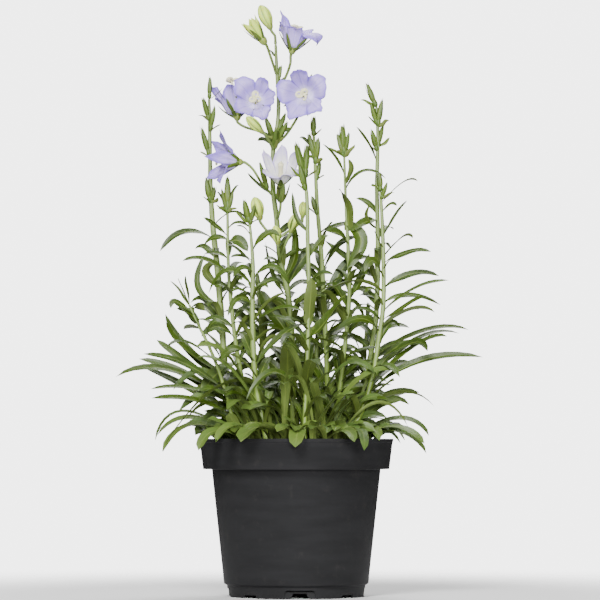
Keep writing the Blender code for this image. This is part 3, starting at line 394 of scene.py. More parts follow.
LOBES = 5
STEM_RIBS = 7.0
OVARY_LENGTH, OVARY_RADIUS = 6.0, 3.7
# Paleness from which a flower counts as a young one
YOUNG = 0.5


# ---------------------------------------------------------------- settings

def length_setting(name, about, default):
    return bpy.props.FloatProperty(
        name=name, description=about, default=default, unit="LENGTH", subtype="DISTANCE",
    )


def colour_setting(name, about, default):
    return bpy.props.FloatVectorProperty(
        name=name, description=about, default=default, subtype="COLOR", size=3,
    )


class BellflowerPotSettings(bpy.types.PropertyGroup):
    wall: length_setting("Wall", "Thickness of the pot's wall", 1.8 * MM)
    colour: colour_setting("Colour", "Colour of the moulded plastic", (0.0142, 0.0142, 0.015))
    compost_colour: colour_setting("Compost", "Colour of the moist compost", (0.030, 0.018, 0.010))


class BellflowerPlantSettings(bpy.types.PropertyGroup):
    leaf_fullness: bpy.props.FloatProperty(
        name="Leaf fullness", description="Leaf width against the narrowest leaves",
        default=1.7, min=0.5, max=2.5,
    )
    leaf_thickness: length_setting("Leaf thickness", "Thickness of a leaf at its midrib", 0.5 * MM)
    extra_leaves: bpy.props.FloatProperty(
        name="Extra leaves", description="How many of the added short leaves to grow",
        default=1.0, min=0.0, max=2.0,
    )
    leaf_colour: colour_setting("Leaf", "Upper side of the leaves", (0.0312, 0.0637, 0.00374))
    stem_colour: colour_setting("Stem", "Upper part of the stems", (0.225, 0.312, 0.0936))


class BellflowerFlowerSettings(bpy.types.PropertyGroup):
    petal_thickness: length_setting("Petal thickness", "Thickness of the bell's wall", 0.4 * MM)
    petal_colour: colour_setting("Petals", "Lavender of the bell's inside", (0.56, 0.45, 0.97))
    edge_colour: colour_setting(
        "Edges", "Deeper violet towards the lobes' edges", (0.25, 0.16, 0.76))
    bud_colour: colour_setting("Buds", "Pale yellow-green of the closed buds", (0.62, 0.79, 0.12))


# ---------------------------------------------------------------- node helpers

class Graph:
    """Short calls for building a node tree."""

    def __init__(self, tree):
        self.tree = tree

    def node(self, kind, **settings):
        made = self.tree.nodes.new(kind)
        for key, value in settings.items():
            setattr(made, key, value)
        return made

    def feed(self, socket, value):
        if isinstance(value, bpy.types.NodeSocket):
            self.tree.links.new(value, socket)
        elif isinstance(value, (tuple, list)) and socket.type == "RGBA":
            socket.default_value = (*value[:3], 1.0)
        else:
            socket.default_value = value

    def feed_all(self, sockets, **values):
        """Feed sockets by name, an underscore standing for each space in a name."""
        for key, value in values.items():
            self.feed(sockets[key.replace("_", " ")], value)

    def math(self, operation, first, second=0.0):
        made = self.node("ShaderNodeMath", operation=operation)
        self.feed(made.inputs[0], first)
        self.feed(made.inputs[1], second)
        return made.outputs[0]

    def times(self, first, second):
        return self.math("MULTIPLY", first, second)

    def plus(self, first, second):
        return self.math("ADD", first, second)

    def minus(self, first, second):
        return self.math("SUBTRACT", first, second)

    def most(self, first, second):
        return self.math("MAXIMUM", first, second)

    def from_middle(self, share):
        """0 where the share is a half, 1 where it is 0 or 1."""
        return self.math("ABSOLUTE", self.minus(self.times(share, 2.0), 1.0))

    def humps(self, value):
        """0 at each whole number, 1 half-way between them."""
        return self.math("ABSOLUTE", self.math("SINE", self.times(value, math.pi)))

    def mix(self, share, first, second):
        made = self.node("ShaderNodeMix", data_type="RGBA")
        self.feed(made.inputs["Factor"], share)
        self.feed(made.inputs[6], first)
        self.feed(made.inputs[7], second)
        return made.outputs[2]

    def noise(self, vector, scale, detail=3.0, roughness=0.5):
        made = self.node("ShaderNodeTexNoise")
        self.feed_all(made.inputs, Vector=vector, Scale=scale, Detail=detail, Roughness=roughness)
        return made.outputs["Fac"]

    def ramp(self, value, low, high, start=0.0, end=1.0):
        """Value from low to high mapped smoothly to start to end."""
        made = self.node("ShaderNodeMapRange", interpolation_type="SMOOTHSTEP")
        self.feed_all(
            made.inputs, Value=value, From_Min=low, From_Max=high, To_Min=start, To_Max=end)
        return made.outputs["Result"]

    def split(self, vector):
        """The three numbers of a vector."""
        made = self.node("ShaderNodeSeparateXYZ")
        self.feed(made.inputs[0], vector)
        return made.outputs

    def split_uv(self):
        return self.split(self.node("ShaderNodeUVMap", uv_map="UVMap").outputs[0])[:2]

    def place(self, *stretch):
        """Object coordinates, stretched where three scales are given."""
        source = self.node("ShaderNodeTexCoord").outputs["Object"]
        if not stretch:
            return source
        made = self.node("ShaderNodeMapping")
        self.feed_all(made.inputs, Vector=source, Scale=stretch)
        return made.outputs[0]

    def tint(self):
        return self.node("ShaderNodeAttribute", attribute_name="tint").outputs["Fac"]

    def place_group(self, name, **values):
        made = self.node("ShaderNodeGroup")
        made.node_tree = group(name)
        self.feed_all(made.inputs, **values)
        return made.outputs


COLOUR, NUMBER, VECTOR = "NodeSocketColor", "NodeSocketFloat", "NodeSocketVector"


def new_group(name, **inputs):
    """A node group that gives a colour and a height. Each input has its kind of socket,
    or the number it starts at. Returns the group, a graph, what it takes and gives."""
    made = bpy.data.node_groups.new(name, "ShaderNodeTree")
    for label, kind in inputs.items():
        is_number = isinstance(kind, float)
        socket = made.interface.new_socket(
            label, in_out="INPUT", socket_type=NUMBER if is_number else kind)
        if is_number:
            socket.default_value = kind
    for label, kind in (("Colour", COLOUR), ("Height", NUMBER)):
        made.interface.new_socket(label, in_out="OUTPUT", socket_type=kind)
    graph = Graph(made)
    taken = graph.node("NodeGroupInput").outputs
    given = graph.node("NodeGroupOutput").inputs
    return made, graph, taken, given


def make_mottle_group():
    """Cloudy variation of a colour at two sizes, with a height for bump."""
    made, graph, taken, given = new_group(
        "soft_mottle", Vector=VECTOR, Colour=COLOUR, Light=COLOUR, Scale=60.0, Amount=0.5)
    coarse = graph.noise(taken["Vector"], taken["Scale"], 2.0)
    fine = graph.noise(taken["Vector"], graph.times(taken["Scale"], 9.0), 4.0, 0.6)
    both = graph.plus(graph.times(coarse, 0.65), graph.times(fine, 0.35))
    share = graph.times(graph.ramp(both, 0.32, 0.68), taken["Amount"])
    colour = graph.mix(share, taken["Colour"], taken["Light"])
    graph.feed_all(given, Colour=colour, Height=fine)
    return made


def make_blade_group():
    """Midrib, side veins and pale underside of a leaf, from its own UV map."""
    made, graph, taken, given = new_group(
        "blade_markings", Across=0.0, Along=0.0, Blade=COLOUR, Vein=COLOUR, Under=COLOUR,
        Veins=9.0,
    )
    side = graph.from_middle(graph.math("FRACT", graph.times(taken["Across"], 2.0)))
    under = graph.math("GREATER_THAN", taken["Across"], 0.5)
    fade = graph.ramp(taken["Along"], 0.35, 0.98, 1.0, 0.25)
    midrib = graph.times(graph.ramp(side, 0.03, 0.15, 1.0, 0.0), fade)
    slant = graph.minus(graph.times(taken["Along"], taken["Veins"]), side)
    veins = graph.ramp(graph.humps(slant), 0.0, 0.22, 0.45, 0.0)
    edge = graph.ramp(side, 0.88, 1.0, 0.0, 0.2)
    marks = graph.most(graph.most(graph.times(midrib, 0.6), graph.times(veins, 0.4)), edge)
    base = graph.mix(under, taken["Blade"], taken["Under"])
    groove = graph.minus(1.0, graph.most(midrib, graph.times(veins, 0.6)))
    height = graph.node("ShaderNodeMix", data_type="FLOAT")
    graph.feed(height.inputs["Factor"], under)
    graph.feed(height.inputs[2], groove)
    graph.feed(height.inputs[3], graph.minus(1.0, groove))
    colour = graph.mix(marks, base, taken["Vein"])
    graph.feed_all(given, Colour=colour, Height=height.outputs[0])
    return made


def make_petal_group():
    """Throat, body and edge colours of a bell with fine veins and painted shade down the creases
    between its lobes, from its UV map.
    """
    made, graph, taken, given = new_group(
        "petal_markings", Around=0.0, Along=0.0, Throat=COLOUR, Body=COLOUR, Edge=COLOUR,
        Vector=VECTOR,
    )
    lobe = graph.math("FRACT", graph.plus(graph.times(taken["Around"], LOBES), 0.5))
    side = graph.from_middle(lobe)
    cloud = graph.noise(taken["Vector"], 90.0, 3.0)
    reach = graph.plus(taken["Along"], graph.times(graph.minus(cloud, 0.5), 0.35))
    colour = graph.mix(graph.ramp(reach, 0.05, 0.38), taken["Throat"], taken["Body"])
    rim = graph.times(graph.ramp(reach, 0.68, 1.0), 0.85)
    fold = graph.times(graph.ramp(side, 0.68, 1.0), graph.ramp(reach, 0.35, 0.85, 0.0, 0.85))
    colour = graph.mix(graph.most(rim, fold), colour, taken["Edge"])
    # Painted shade: a dark violet down the creases between the lobes, from just above the throat up
    # to the notches.
    painted_crease_shade = graph.times(graph.ramp(side, 0.86, 1.0), graph.ramp(reach, 0.1, 0.5, 0.0, 0.45))
    colour = graph.mix(painted_crease_shade, colour, (0.10, 0.07, 0.34))
    fan = graph.times(graph.minus(lobe, 0.5), 9.0)
    wobble = graph.times(graph.noise(taken["Vector"], 260.0, 2.0), 1.4)
    vein = graph.ramp(graph.humps(graph.plus(fan, wobble)), 0.0, 0.35, 0.38, 0.0)
    lines = graph.most(vein, graph.ramp(side, 0.0, 0.09, 0.45, 0.0))
    graph.feed_all(
        given, Colour=graph.mix(lines, colour, taken["Edge"]),
        Height=graph.plus(graph.times(lines, -1.0), cloud),
    )
    return made


GROUP_MAKERS = {"mottle": make_mottle_group, "blade": make_blade_group, "petal": make_petal_group}
GROUPS = {}


def group(name):
    if name not in GROUPS:
        GROUPS[name] = GROUP_MAKERS[name]()
    return GROUPS[name]


# ---------------------------------------------------------------- materials

def new_material(name):
    made = bpy.data.materials.new(name)
    made.use_nodes = True
    return made, Graph(made.node_tree)


def shade(made, graph, **inputs):
    """Feed a material's shader by name."""
    graph.feed_all(made.node_tree.nodes["Principled BSDF"].inputs, **inputs)


def shade_with_relief(made, graph, height, strength, distance, **inputs):
    """Feed a material's shader by name, with bumps of a height; returns the material."""
    bump = graph.node("ShaderNodeBump")
    graph.feed_all(bump.inputs, Height=height, Strength=strength, Distance=distance)
    shade(made, graph, Normal=bump.outputs[0], **inputs)
    return made


def scaled(colour, amount):
    return tuple(min(1.0, part * amount) for part in colour)


def tinted(graph, colour, spread):
    """The colour made darker and bluer or lighter and yellower by each piece's tint."""
    light = tuple(
        min(1.0, part * (1.0 + spread * more)) for part, more in zip(colour, (1.5, 0.9, 0.3)))
    return graph.mix(graph.tint(), scaled(colour, 1.0 - spread), light)


def leaf_material(name, colour, vein, under, veins=9.0, rough=0.42):
    made, graph = new_material(name)
    across, along = graph.split_uv()
    blade = graph.place_group(
        "mottle", Vector=graph.place(), Colour=tinted(graph, colour, 0.45),
        Light=scaled(colour, 1.7), Scale=55.0, Amount=0.6,
    )
    marks = graph.place_group(
        "blade", Across=across, Along=along, Blade=blade["Colour"], Vein=vein, Under=under,
        Veins=veins,
    )
    grain = graph.noise(graph.place(), 700.0, 3.0)
    height = graph.plus(marks["Height"], graph.times(blade["Height"], 0.5))
    return shade_with_relief(
        made, graph, height, 0.55, 0.35 * MM, Base_Color=marks["Colour"],
        Roughness=graph.ramp(grain, 0.25, 0.75, rough - 0.07, rough + 0.12),
        Specular_IOR_Level=0.5,
    )


def stem_material(name, low, high, dark):
    """Ribbed stem: fresh green near the compost, paler above, darker near the top."""
    made, graph = new_material(name)
    around, _along = graph.split_uv()
    height = graph.split(graph.place())[2]
    colour = graph.mix(graph.ramp(height, 0.17, 0.30), low, high)
    colour = graph.mix(graph.ramp(height, 0.42, 0.50, 0.0, 0.8), colour, dark)
    colour = graph.mix(graph.ramp(graph.tint(), 0.0, 0.6, 0.45, 0.0), colour, dark)
    ribs = graph.ramp(graph.math("SINE", graph.times(around, math.tau * STEM_RIBS)), -1.0, 1.0)
    colour = graph.mix(graph.times(ribs, 0.35), colour, scaled(low, 0.45))
    streak = graph.place_group(
        "mottle", Vector=graph.place(1.0, 1.0, 0.12), Colour=colour, Light=scaled(high, 1.35),
        Scale=300.0, Amount=0.5,
    )
    relief = graph.plus(graph.times(ribs, -1.0), streak["Height"])
    return shade_with_relief(
        made, graph, relief, 0.5, 0.3 * MM, Base_Color=streak["Colour"], Roughness=0.42)


def petal_material(name, throat, body, edge):
    made, graph = new_material(name)
    around, along = graph.split_uv()
    marks = graph.place_group(
        "petal", Around=around, Along=along, Throat=throat, Body=body, Edge=edge,
        Vector=graph.place(),
    )
    cells = graph.noise(graph.place(), 2600.0, 2.0)
    height = graph.plus(marks["Height"], graph.times(cells, 0.3))
    return shade_with_relief(
        made, graph, height, 0.45, 0.35 * MM, Base_Color=marks["Colour"],
        Roughness=graph.ramp(cells, 0.3, 0.7, 0.5, 0.68), Sheen_Weight=0.25,
        Sheen_Roughness=0.4, Subsurface_Weight=0.25, Subsurface_Radius=(0.6, 0.5, 1.0),
        Subsurface_Scale=2.0 * MM,
    )


def bud_material(name, pale, green, stripes):
    """Pale bud with a green line down each fold and a greener base."""
    made, graph = new_material(name)
    around, along = graph.split_uv()
    side = graph.from_middle(graph.math("FRACT", graph.times(around, LOBES)))
    line = graph.ramp(side, 0.0, 0.35, stripes, 0.0)
    share = graph.most(line, graph.ramp(along, 0.05, 0.5, 0.55, 0.0))
    cloud = graph.place_group(
        "mottle", Vector=graph.place(1.0, 1.0, 0.35), Colour=graph.mix(share, pale, green),
        Light=scaled(pale, 1.25), Scale=220.0, Amount=0.45,
    )
    relief = graph.plus(graph.times(line, -1.0), cloud["Height"])
    return shade_with_relief(
        made, graph, relief, 0.5, 0.3 * MM, Base_Color=cloud["Colour"], Roughness=0.45,
        Subsurface_Weight=0.15, Subsurface_Scale=2.0 * MM,
    )


def pistil_material(name, shadow, light):
    made, graph = new_material(name)
    fuzz = graph.noise(graph.place(), 1800.0, 3.0, 0.7)
    return shade_with_relief(
        made, graph, fuzz, 0.8, 0.3 * MM,
        Base_Color=graph.mix(graph.ramp(fuzz, 0.35, 0.65), shadow, light),
        Roughness=graph.ramp(fuzz, 0.3, 0.7, 0.55, 0.85), Sheen_Weight=0.4,
    )


def plastic_material(name, colour):
    """Satin moulded plastic: faint grain, flow marks and a little dust."""
    made, graph = new_material(name)
    grain = graph.noise(graph.place(), 1500.0, 2.0)
    flow = graph.noise(graph.place(1.0, 1.0, 6.0), 14.0, 3.0)
    dust = graph.times(graph.ramp(graph.noise(graph.place(), 75.0, 5.0, 0.65), 0.55, 0.75), 0.05)
    tone = graph.mix(graph.ramp(flow, 0.3, 0.7), colour, scaled(colour, 1.3))
    return shade_with_relief(
        made, graph, graph.plus(grain, graph.times(flow, 0.6)), 0.14, 0.12 * MM,
        Base_Color=graph.mix(dust, tone, (0.16, 0.14, 0.12)),
        Roughness=graph.plus(graph.ramp(flow, 0.25, 0.75, 0.47, 0.54), graph.times(dust, 0.8)),
        Specular_IOR_Level=0.06,
    )


def compost_material(name, colour):
    made, graph = new_material(name)
    clumps = graph.place_group(
        "mottle", Vector=graph.place(), Colour=colour, Light=(0.11, 0.065, 0.035),
        Scale=210.0, Amount=0.8,
    )
    fibre = graph.noise(graph.place(1.0, 4.0, 1.0), 420.0, 4.0, 0.7)
    threads = graph.ramp(fibre, 0.62, 0.72, 0.0, 0.6)
    return shade_with_relief(
        made, graph, graph.plus(clumps["Height"], fibre), 0.9, 1.0 * MM,
        Base_Color=graph.mix(threads, clumps["Colour"], (0.20, 0.13, 0.07)),
        Roughness=graph.ramp(fibre, 0.3, 0.7, 0.75, 0.98),
    )


MATERIALS = {}


def material(name):
    """The plant's finishes, each made the first time it is asked for."""
    if name in MATERIALS:
        return MATERIALS[name]
    scene = bpy.context.scene
    plant, bloom, pot = scene.bellflower_plant, scene.bellflower_flowers, scene.bellflower_pot
    leaf, stem = tuple(plant.leaf_colour), tuple(plant.stem_colour)
    petal, edge, bud = tuple(bloom.petal_colour), tuple(bloom.edge_colour), tuple(bloom.bud_colour)
    green = (0.20, 0.32, 0.08)
    make, *values = {
        "leaf": (leaf_material, "leaf_green", leaf, (0.212, 0.281, 0.051), (0.1, 0.143, 0.024)),
        # Painted light: the rosette's greens are made lighter than the stem leaves' to lift the low
        # leaves out of the shade they lie in.
        "rosette": (
            leaf_material, "rosette_green", (0.064, 0.116, 0.020), (0.281, 0.359, 0.077),
            (0.148, 0.211, 0.043), 6.0, 0.46,
        ),
        "bract": (
            leaf_material, "bract_green", (0.0749, 0.131, 0.017), (0.281, 0.33, 0.076),
            (0.174, 0.225, 0.048), 5.0,
        ),
        "stem": (stem_material, "stem_green", (0.174, 0.281, 0.017), stem, (0.0872, 0.125, 0.021)),
        # The lavender petals' throat colour is their pale throat greyed towards violet as painted
        # shade deep in the bell.
        "petal": (petal_material, "petal_lavender", (0.72, 0.67, 0.95), petal, edge),
        "young_petal": (
            petal_material, "petal_young", (0.84, 0.88, 0.50), (0.90, 0.88, 0.95), petal),
        "bud": (bud_material, "bud_pale", bud, green, 0.95),
        "green_bud": (
            bud_material, "bud_green", (0.0936, 0.156, 0.022), (0.0437, 0.0872, 0.01), 0.5),
        "ovary": (bud_material, "ovary_green", (0.262, 0.325, 0.058), green, 0.6),
        "pistil": (pistil_material, "pistil_cream", (0.84, 0.80, 0.40), (0.98, 0.96, 0.70)),
        "plastic": (plastic_material, "nursery_plastic", tuple(pot.colour)),
        "compost": (compost_material, "moist_compost", tuple(pot.compost_colour)),
    }[name]
    MATERIALS[name] = make(*values)
    return MATERIALS[name]


# ---------------------------------------------------------------- modelling helpers

# How a leaf's width rises from its base, falls to its tip, and how wide its base is
STEM_LEAF = (0.42, 0.56, 0.38)
ROSETTE_LEAF = (0.95, 0.42, 0.32)
BRACT_LEAF = (0.35, 0.6, 0.6)
SEPAL_LEAF = (0.22, 0.62, 0.9)


def at(x, y, z):
    """A place given in millimetres."""
    return Vector((x, y, z)) * MM


def upward(height):
    """A step straight up."""
    return Vector((0.0, 0.0, height))


def ray(angle):
    """The level direction at an angle round the plant."""
    return Vector((math.cos(angle), math.sin(angle), 0.0))


def between(rows, index, share):
    """A row's numbers moved by a share towards the next row's."""
    low, high = rows[index], rows[index + 1]
    return [first + (second - first) * share for first, second in zip(low, high)]


def halfway_control(start, middle, tip):
    """The control point of the curve from start to tip that passes through middle."""
    return middle * 2.0 - (start + tip) * 0.5


def curve_point(start, control, tip, share):
    """A point on the curve from start to tip that is drawn towards the control point."""
    return start * (1 - share) ** 2 + control * 2 * share * (1 - share) + tip * share**2


def new_shape():
    """An empty mesh to build in, with a UV map and a tint for each point."""
    shape = bmesh.new()
    shape.loops.layers.uv.new("UVMap")
    shape.verts.layers.float.new("tint")
    return shape


def lay_grid(shape, across, along, point_at, tint=0.5):
    """Lay a grid out as a closed surface: point_at(u, v) gives where each point goes."""
    tints = shape.verts.layers.float["tint"]
    made = bmesh.ops.create_grid(
        shape, x_segments=across, y_segments=along, size=0.5, calc_uvs=True,
    )["verts"]
    for vert in made:
        vert.co = point_at(vert.co.x + 0.5, vert.co.y + 0.5)
        vert[tints] = tint
    bmesh.ops.remove_doubles(shape, verts=made, dist=WELD_DISTANCE)


def new_object(name, data):
    made = bpy.data.objects.new(name, data)
    bpy.context.scene.collection.objects.link(made)
    return made


def mesh_object(name, shape):
    """Turn a built shape into an object."""
    mesh = bpy.data.meshes.new(name)
    shape.to_mesh(mesh)
    shape.free()
    return new_object(name, mesh)


def finish_piece(name, shape, finish, stands_for=(), wall=0.0, sharp=None):
    """Turn a built shape into a piece of the plant that rides on the frame."""
    piece = mesh_object(name, shape)
    piece.data.shade_smooth()
    if sharp:
        piece.data.set_sharp_from_angle(angle=math.radians(sharp))
    piece.data.materials.append(material(finish))
    if wall:
        solid = piece.modifiers.new("wall", "SOLIDIFY")
        solid.thickness = wall
        solid.offset = -1.0
    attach(piece, "root")
    if stands_for:
        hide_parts(*stands_for)


def smooth_path(points, count):
    """Points read from a smooth curve through the given ones."""
    ends = [points[0] * 2 - points[1]] + list(points) + [points[-1] * 2 - points[-2]]
    spans = len(points) - 1
    read = []
    for step in range(count + 1):
        place = min(step / count * spans, spans - 1e-6)
        index = int(place)
        t = place - index
        a, b, c, d = ends[index:index + 4]
        read.append(0.5 * (2 * b + (c - a) * t + (2 * a - 5 * b + 4 * c - d) * t**2
                           + (3 * b - a - 3 * c + d) * t**3))
    return read


def frames_along(points):
    """Each point with side and up directions, carried along a path without twisting."""
    frames = []
    side = None
    for index, point in enumerate(points):
        ahead = points[min(index + 1, len(points) - 1)]
        behind = points[max(index - 1, 0)]
        along = (ahead - behind).normalized()
        if side is None:
            helper = Vector((1, 0, 0)) if abs(along.x) < 0.8 else Vector((0, 1, 0))
            side = helper.cross(along).cross(along).normalized() * -1.0
        side = (side - along * side.dot(along)).normalized()
        frames.append((point, side, along.cross(side)))
    return frames


def lay_tube(shape, points, radii, sides, tint=0.5, ridges=0.0):
    """A closed tube along a path; the radii are in metres, one for each point."""
    frames = frames_along(points)
    last = len(points) - 1

    def point_at(u, v):
        index = round(v * last)
        centre, side, up = frames[index]
        angle = math.tau * u
        radius = 0.0 if index in (0, last) else radii[index]
        radius *= 1.0 + ridges * math.cos(LOBES * angle)
        return centre + (side * math.cos(angle) + up * math.sin(angle)) * radius

    lay_grid(shape, sides, last, point_at, tint)


def blade_outline(share, rise, fall, base):
    """Width of a leaf along its length, 1 where it is fullest, 0 at its tip."""
    full_at = rise / (rise + fall)
    grown = (max(share, 1e-4) / full_at) ** rise * ((1.0 - share) / (1.0 - full_at)) ** fall
    return max(grown, base * (1.0 - share) ** 0.5)


def blade_frame(path, across, share):
    """Centre of a blade, its direction, and its flat and upper sides, along its path."""
    start, middle, tip = path
    control = halfway_control(start, middle, tip)
    along = ((control - start) * (1 - share) + (tip - control) * share).normalized()
    flat = (across - along * across.dot(along)).normalized()
    return curve_point(start, control, tip, share), along, flat, flat.cross(along)


def blade_place(u):
    """From -1 to 1 across a closed blade, and 1 on its upper face or -1 on its lower."""
    around = 2.0 * u
    return (2.0 * around - 1.0, 1.0) if around <= 1.0 else (3.0 - 2.0 * around, -1.0)


def lay_leaf(shape, path, width, look, rows=10, columns=8):
    """A closed leaf along a path of three points: folded, twisted and thin-edged.

    look holds roll, twist and fold in degrees, how its width rises and falls, the
    width of its base, its thickness, its sway, its edge's waves, and its tint.
    """
    start, _middle, tip = path
    level = Vector((tip.x - start.x, tip.y - start.y, 0.0))
    level = level.normalized() if level.length > 1e-5 else Vector((1.0, 0.0, 0.0))
    across = Vector((level.y, -level.x, 0.0))
    roll, fold = math.radians(look["roll"]), math.radians(look["fold"])
    phase = look["tint"] * 40.0

    def point_at(u, v):
        centre, along, flat, up = blade_frame(path, across, v)
        turn = roll * min(1.0, v / 0.3) ** 0.8 + math.radians(look["twist"]) * (v - 0.3)
        side = flat * math.cos(turn) + up * math.sin(turn)
        up = side.cross(along)
        place, face = blade_place(u)
        half = 0.5 * width * blade_outline(v, *look["outline"])
        centre += side * look["sway"] * math.sin(math.pi * v) * math.sin(4.5 * v + phase)
        raised = abs(place) ** 1.4 * half * math.tan(fold)
        raised += look["wave"] * abs(place) ** 2 * math.sin(9.0 * v + phase + place)
        thick = 0.5 * look["thickness"] * (1.0 - place**2) * min(1.0, half / MM)
        return centre + side * place * half + up * (raised + face * thick)

    lay_grid(shape, columns, rows, point_at, look["tint"])


def leaf_look(draw, width, outline=STEM_LEAF, facing=1.0):
    turned_away = draw.random() < 0.14
    return {
        "roll": facing * (-draw.uniform(5.0, 35.0) if turned_away else draw.uniform(28.0, 64.0)),
        "twist": draw.uniform(-30.0, 30.0),
        "fold": draw.uniform(6.0, 26.0),
        "outline": outline,
        "thickness": bpy.context.scene.bellflower_plant.leaf_thickness,
        "sway": draw.uniform(0.0, 1.6) * MM,
        "wave": draw.uniform(0.0, 0.06) * width,
        "tint": draw.random(),
    }


def facing_of(path):
    """From -1 to 1: the share of the roll that shows a leaf's upper side in front."""
    level = Vector((path[2].x - path[0].x, path[2].y - path[0].y))
    return -level.x / max(level.length, 1e-6)


# ---------------------------------------------------------------- where leaves lie

def stem_point(name, height):
    rows = STEMS[name]
    index = next((i for i, row in enumerate(rows[1:]) if height <= row[2]), len(rows) - 2)
    low, high = rows[index][2], rows[index + 1][2]
    return Vector(between(rows, index, (height - low) / (high - low))[:3])


def nudges():
    """The turns, lifts and shortenings that a leaf may have been given, in order."""
    tries = []
    for shrink in (1.0, 0.88, 0.74, 0.6, 0.45):
        for turn in (0, 5, -5, 10, -10, 16, -16, 23, -23, 31, -31, 40, -40):
            for lift in (0, 5, -5, 10, -9, 15):
                cost = abs(turn) + 1.6 * abs(lift) + 130.0 * (1.0 - shrink)
                tries.append((cost, turn, lift, shrink))
    tries.sort()
    return [entry[1:] for entry in tries]


NUDGES = nudges()


def nudged(start, middle, tip, turn, lift, shrink):
    spin = Matrix.Rotation(math.radians(turn), 3, "Z")
    moved = [start]
    for point in (middle, tip):
        offset = spin @ (point - start) * shrink
        rise = math.tan(math.radians(lift)) * Vector((offset.x, offset.y)).length
        moved.append(start + offset + upward(rise))
    return moved


def settled(leaf, tree):
    """The path whose points lie on the frame's own leaf."""
    start, middle, tip = (Vector(point) * MM for point in leaf[:3])
    best = None
    for nudge in NUDGES:
        path = nudged(start, middle, tip, *nudge)
        control = halfway_control(*path)
        worst = 0.0
        for share in BLADE_SHARES:
            point = curve_point(path[0], control, path[2], share)
            worst = max(worst, tree.find_nearest(point)[3])
            if best and worst > best[0]:
                break
        if best is None or worst < best[0]:
            best = (worst, path)
        if worst < MATCH_DISTANCE:
            break
    return best[1]


def node_tree(name):
    """The faces of one of the frame's nodes, to measure distances to."""
    shape = bmesh.new()
    shape.from_mesh(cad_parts[name].data)
    tree = BVHTree.FromBMesh(shape)
    shape.free()
    return tree


def spiral_leaves(name):
    low, high, count, longest, shortest, width, first = SPIRALS[name]
    leaves = []
    for index in range(count):
        share = index / (count - 1)
        base = stem_point(name, low + (high - low) * share)
        length = longest + (shortest - longest) * share
        out = ray(math.radians(first + GOLDEN_ANGLE * index))
        steep, flat = index % 3 == 1, index % 4 == 2
        reach = length * (0.8 - 0.16 * steep)
        rise = length * (0.42 + 0.22 * steep - 0.14 * flat)
        middle = base + out * reach * 0.52 + upward(rise * 0.95)
        tip = base + out * reach + upward(rise * 0.85)
        leaves.append((base, middle, tip, width * (1.0 - 0.2 * share)))
    return leaves


def drawn_leaves(name):
    leaves = []
    for height, mid_x, mid_z, tip_x, tip_z, depth, width in LEAVES[name]:
        base = stem_point(name, height)
        middle = Vector((mid_x, base.y + 0.45 * depth, mid_z))
        tip = Vector((tip_x, base.y + depth, tip_z))
        leaves.append((base, middle, tip, width))
    return leaves


def extra_leaves(name, draw):
    """Short leaves between the others, from the stem's foot to half its height."""
    count = round(EXTRA_LEAVES[name] * bpy.context.scene.bellflower_plant.extra_leaves)
    lowest = 152.0
    reach = min(STEMS[name][-1][2] - 12.0, 335.0) - lowest
    leaves = []
    for index in range(count):
        share = (index + 0.5) / count
        base = stem_point(name, lowest + reach * share)
        out = ray(math.radians(draw.uniform(0, 360)))
        length = draw.uniform(42, 70) * (1.0 - 0.36 * share)
        rise = draw.uniform(0.25, 0.8)
        middle = base + (out * 0.52 + upward(rise)) * length * 0.62
        tip = middle + (out * 0.62 + upward(rise * draw.uniform(-0.4, 0.5))) * length * 0.6
        width = draw.uniform(6.0, 9.5) * (1.0 - 0.25 * share)
        leaves.append(([base * MM, middle * MM, tip * MM], width))
    return leaves


# ---------------------------------------------------------------- shoots

def lay_stem(shape, name, draw):
    """A stem with a slightly uneven girth, from below the compost to its tip."""
    x, y, z, radius = STEMS[name][0]
    rows = [(x, y, z - 9.0, radius)] + STEMS[name]
    points = [at(*row[:3]) for row in rows]
    count = 56
    path = smooth_path(points, count)
    spans = len(points) - 1
    sizes = []
    for step in range(count + 1):
        place = step / count * spans
        index = min(int(place), spans - 1)
        size = between(rows, index, place - index)[3]
        sizes.append(size * MM * (1.0 + 0.05 * math.sin(step * 2.4)))
    tint = 0.0 if name == "shoot_main" else draw.uniform(0.5, 1.0)
    lay_tube(shape, path, sizes, 14, tint, ridges=0.05)


def lay_stalk(shape, flower):
    """A flower's stalk, thicker where it leaves the stem and under the flower."""
    axis = Vector((FLOWERS | BUDS)[flower][0]).normalized()
    points = [at(*row) for row in STALKS[flower]]
    end = points.pop()
    points += [end - axis * 2.5 * MM, end + axis * 1.0 * MM]
    count = 22
    radii = []
    for step in range(count + 1):
        swell = 0.35 * (1.0 - min(1.0, step / 4.0)) + 0.5 * (step / count) ** 6
        radii.append((1.3 + swell) * MM)
    lay_tube(shape, smooth_path(points, count), radii, 10, ridges=0.05)


def lay_bud_core(shape, base, tip, radius, outline, sides, rows, ridges):
    """A closed bud with five folds between two points."""
    points = [base.lerp(tip, step / rows) for step in range(rows + 1)]
    radii = [radius * outline(step / rows) for step in range(rows + 1)]
    lay_tube(shape, points, radii, sides, ridges=ridges)


def full_bud(share):
    """Girth of a green bud along its length."""
    swell = math.sin(math.pi * min(1.0, share * 0.92 + 0.08)) ** 0.7
    return min(1.0, swell * (1.22 - 0.42 * share))


def lay_sepals(shape, base, axis, roll, spots, width, draw, count=LOBES):
    """Narrow sepals round a bud or bell through three (radius, height) spots."""
    turn = aim(axis, roll)
    for index in range(count):
        spin = turn @ Matrix.Rotation(index * math.tau / count, 4, "Z")
        far = draw.uniform(0.9, 1.08)
        out = draw.uniform(0.0, 0.12)
        points = []
        for step, (radius, height) in enumerate(spots):
            high = height * far if step == 2 else height
            points.append(base + spin @ at(radius * (1.0 + out * step), 0.0, high))
        side = (spin @ Vector((0.0, 1.0, 0.0))).normalized()
        lay_sepal(shape, points, side, width, draw)


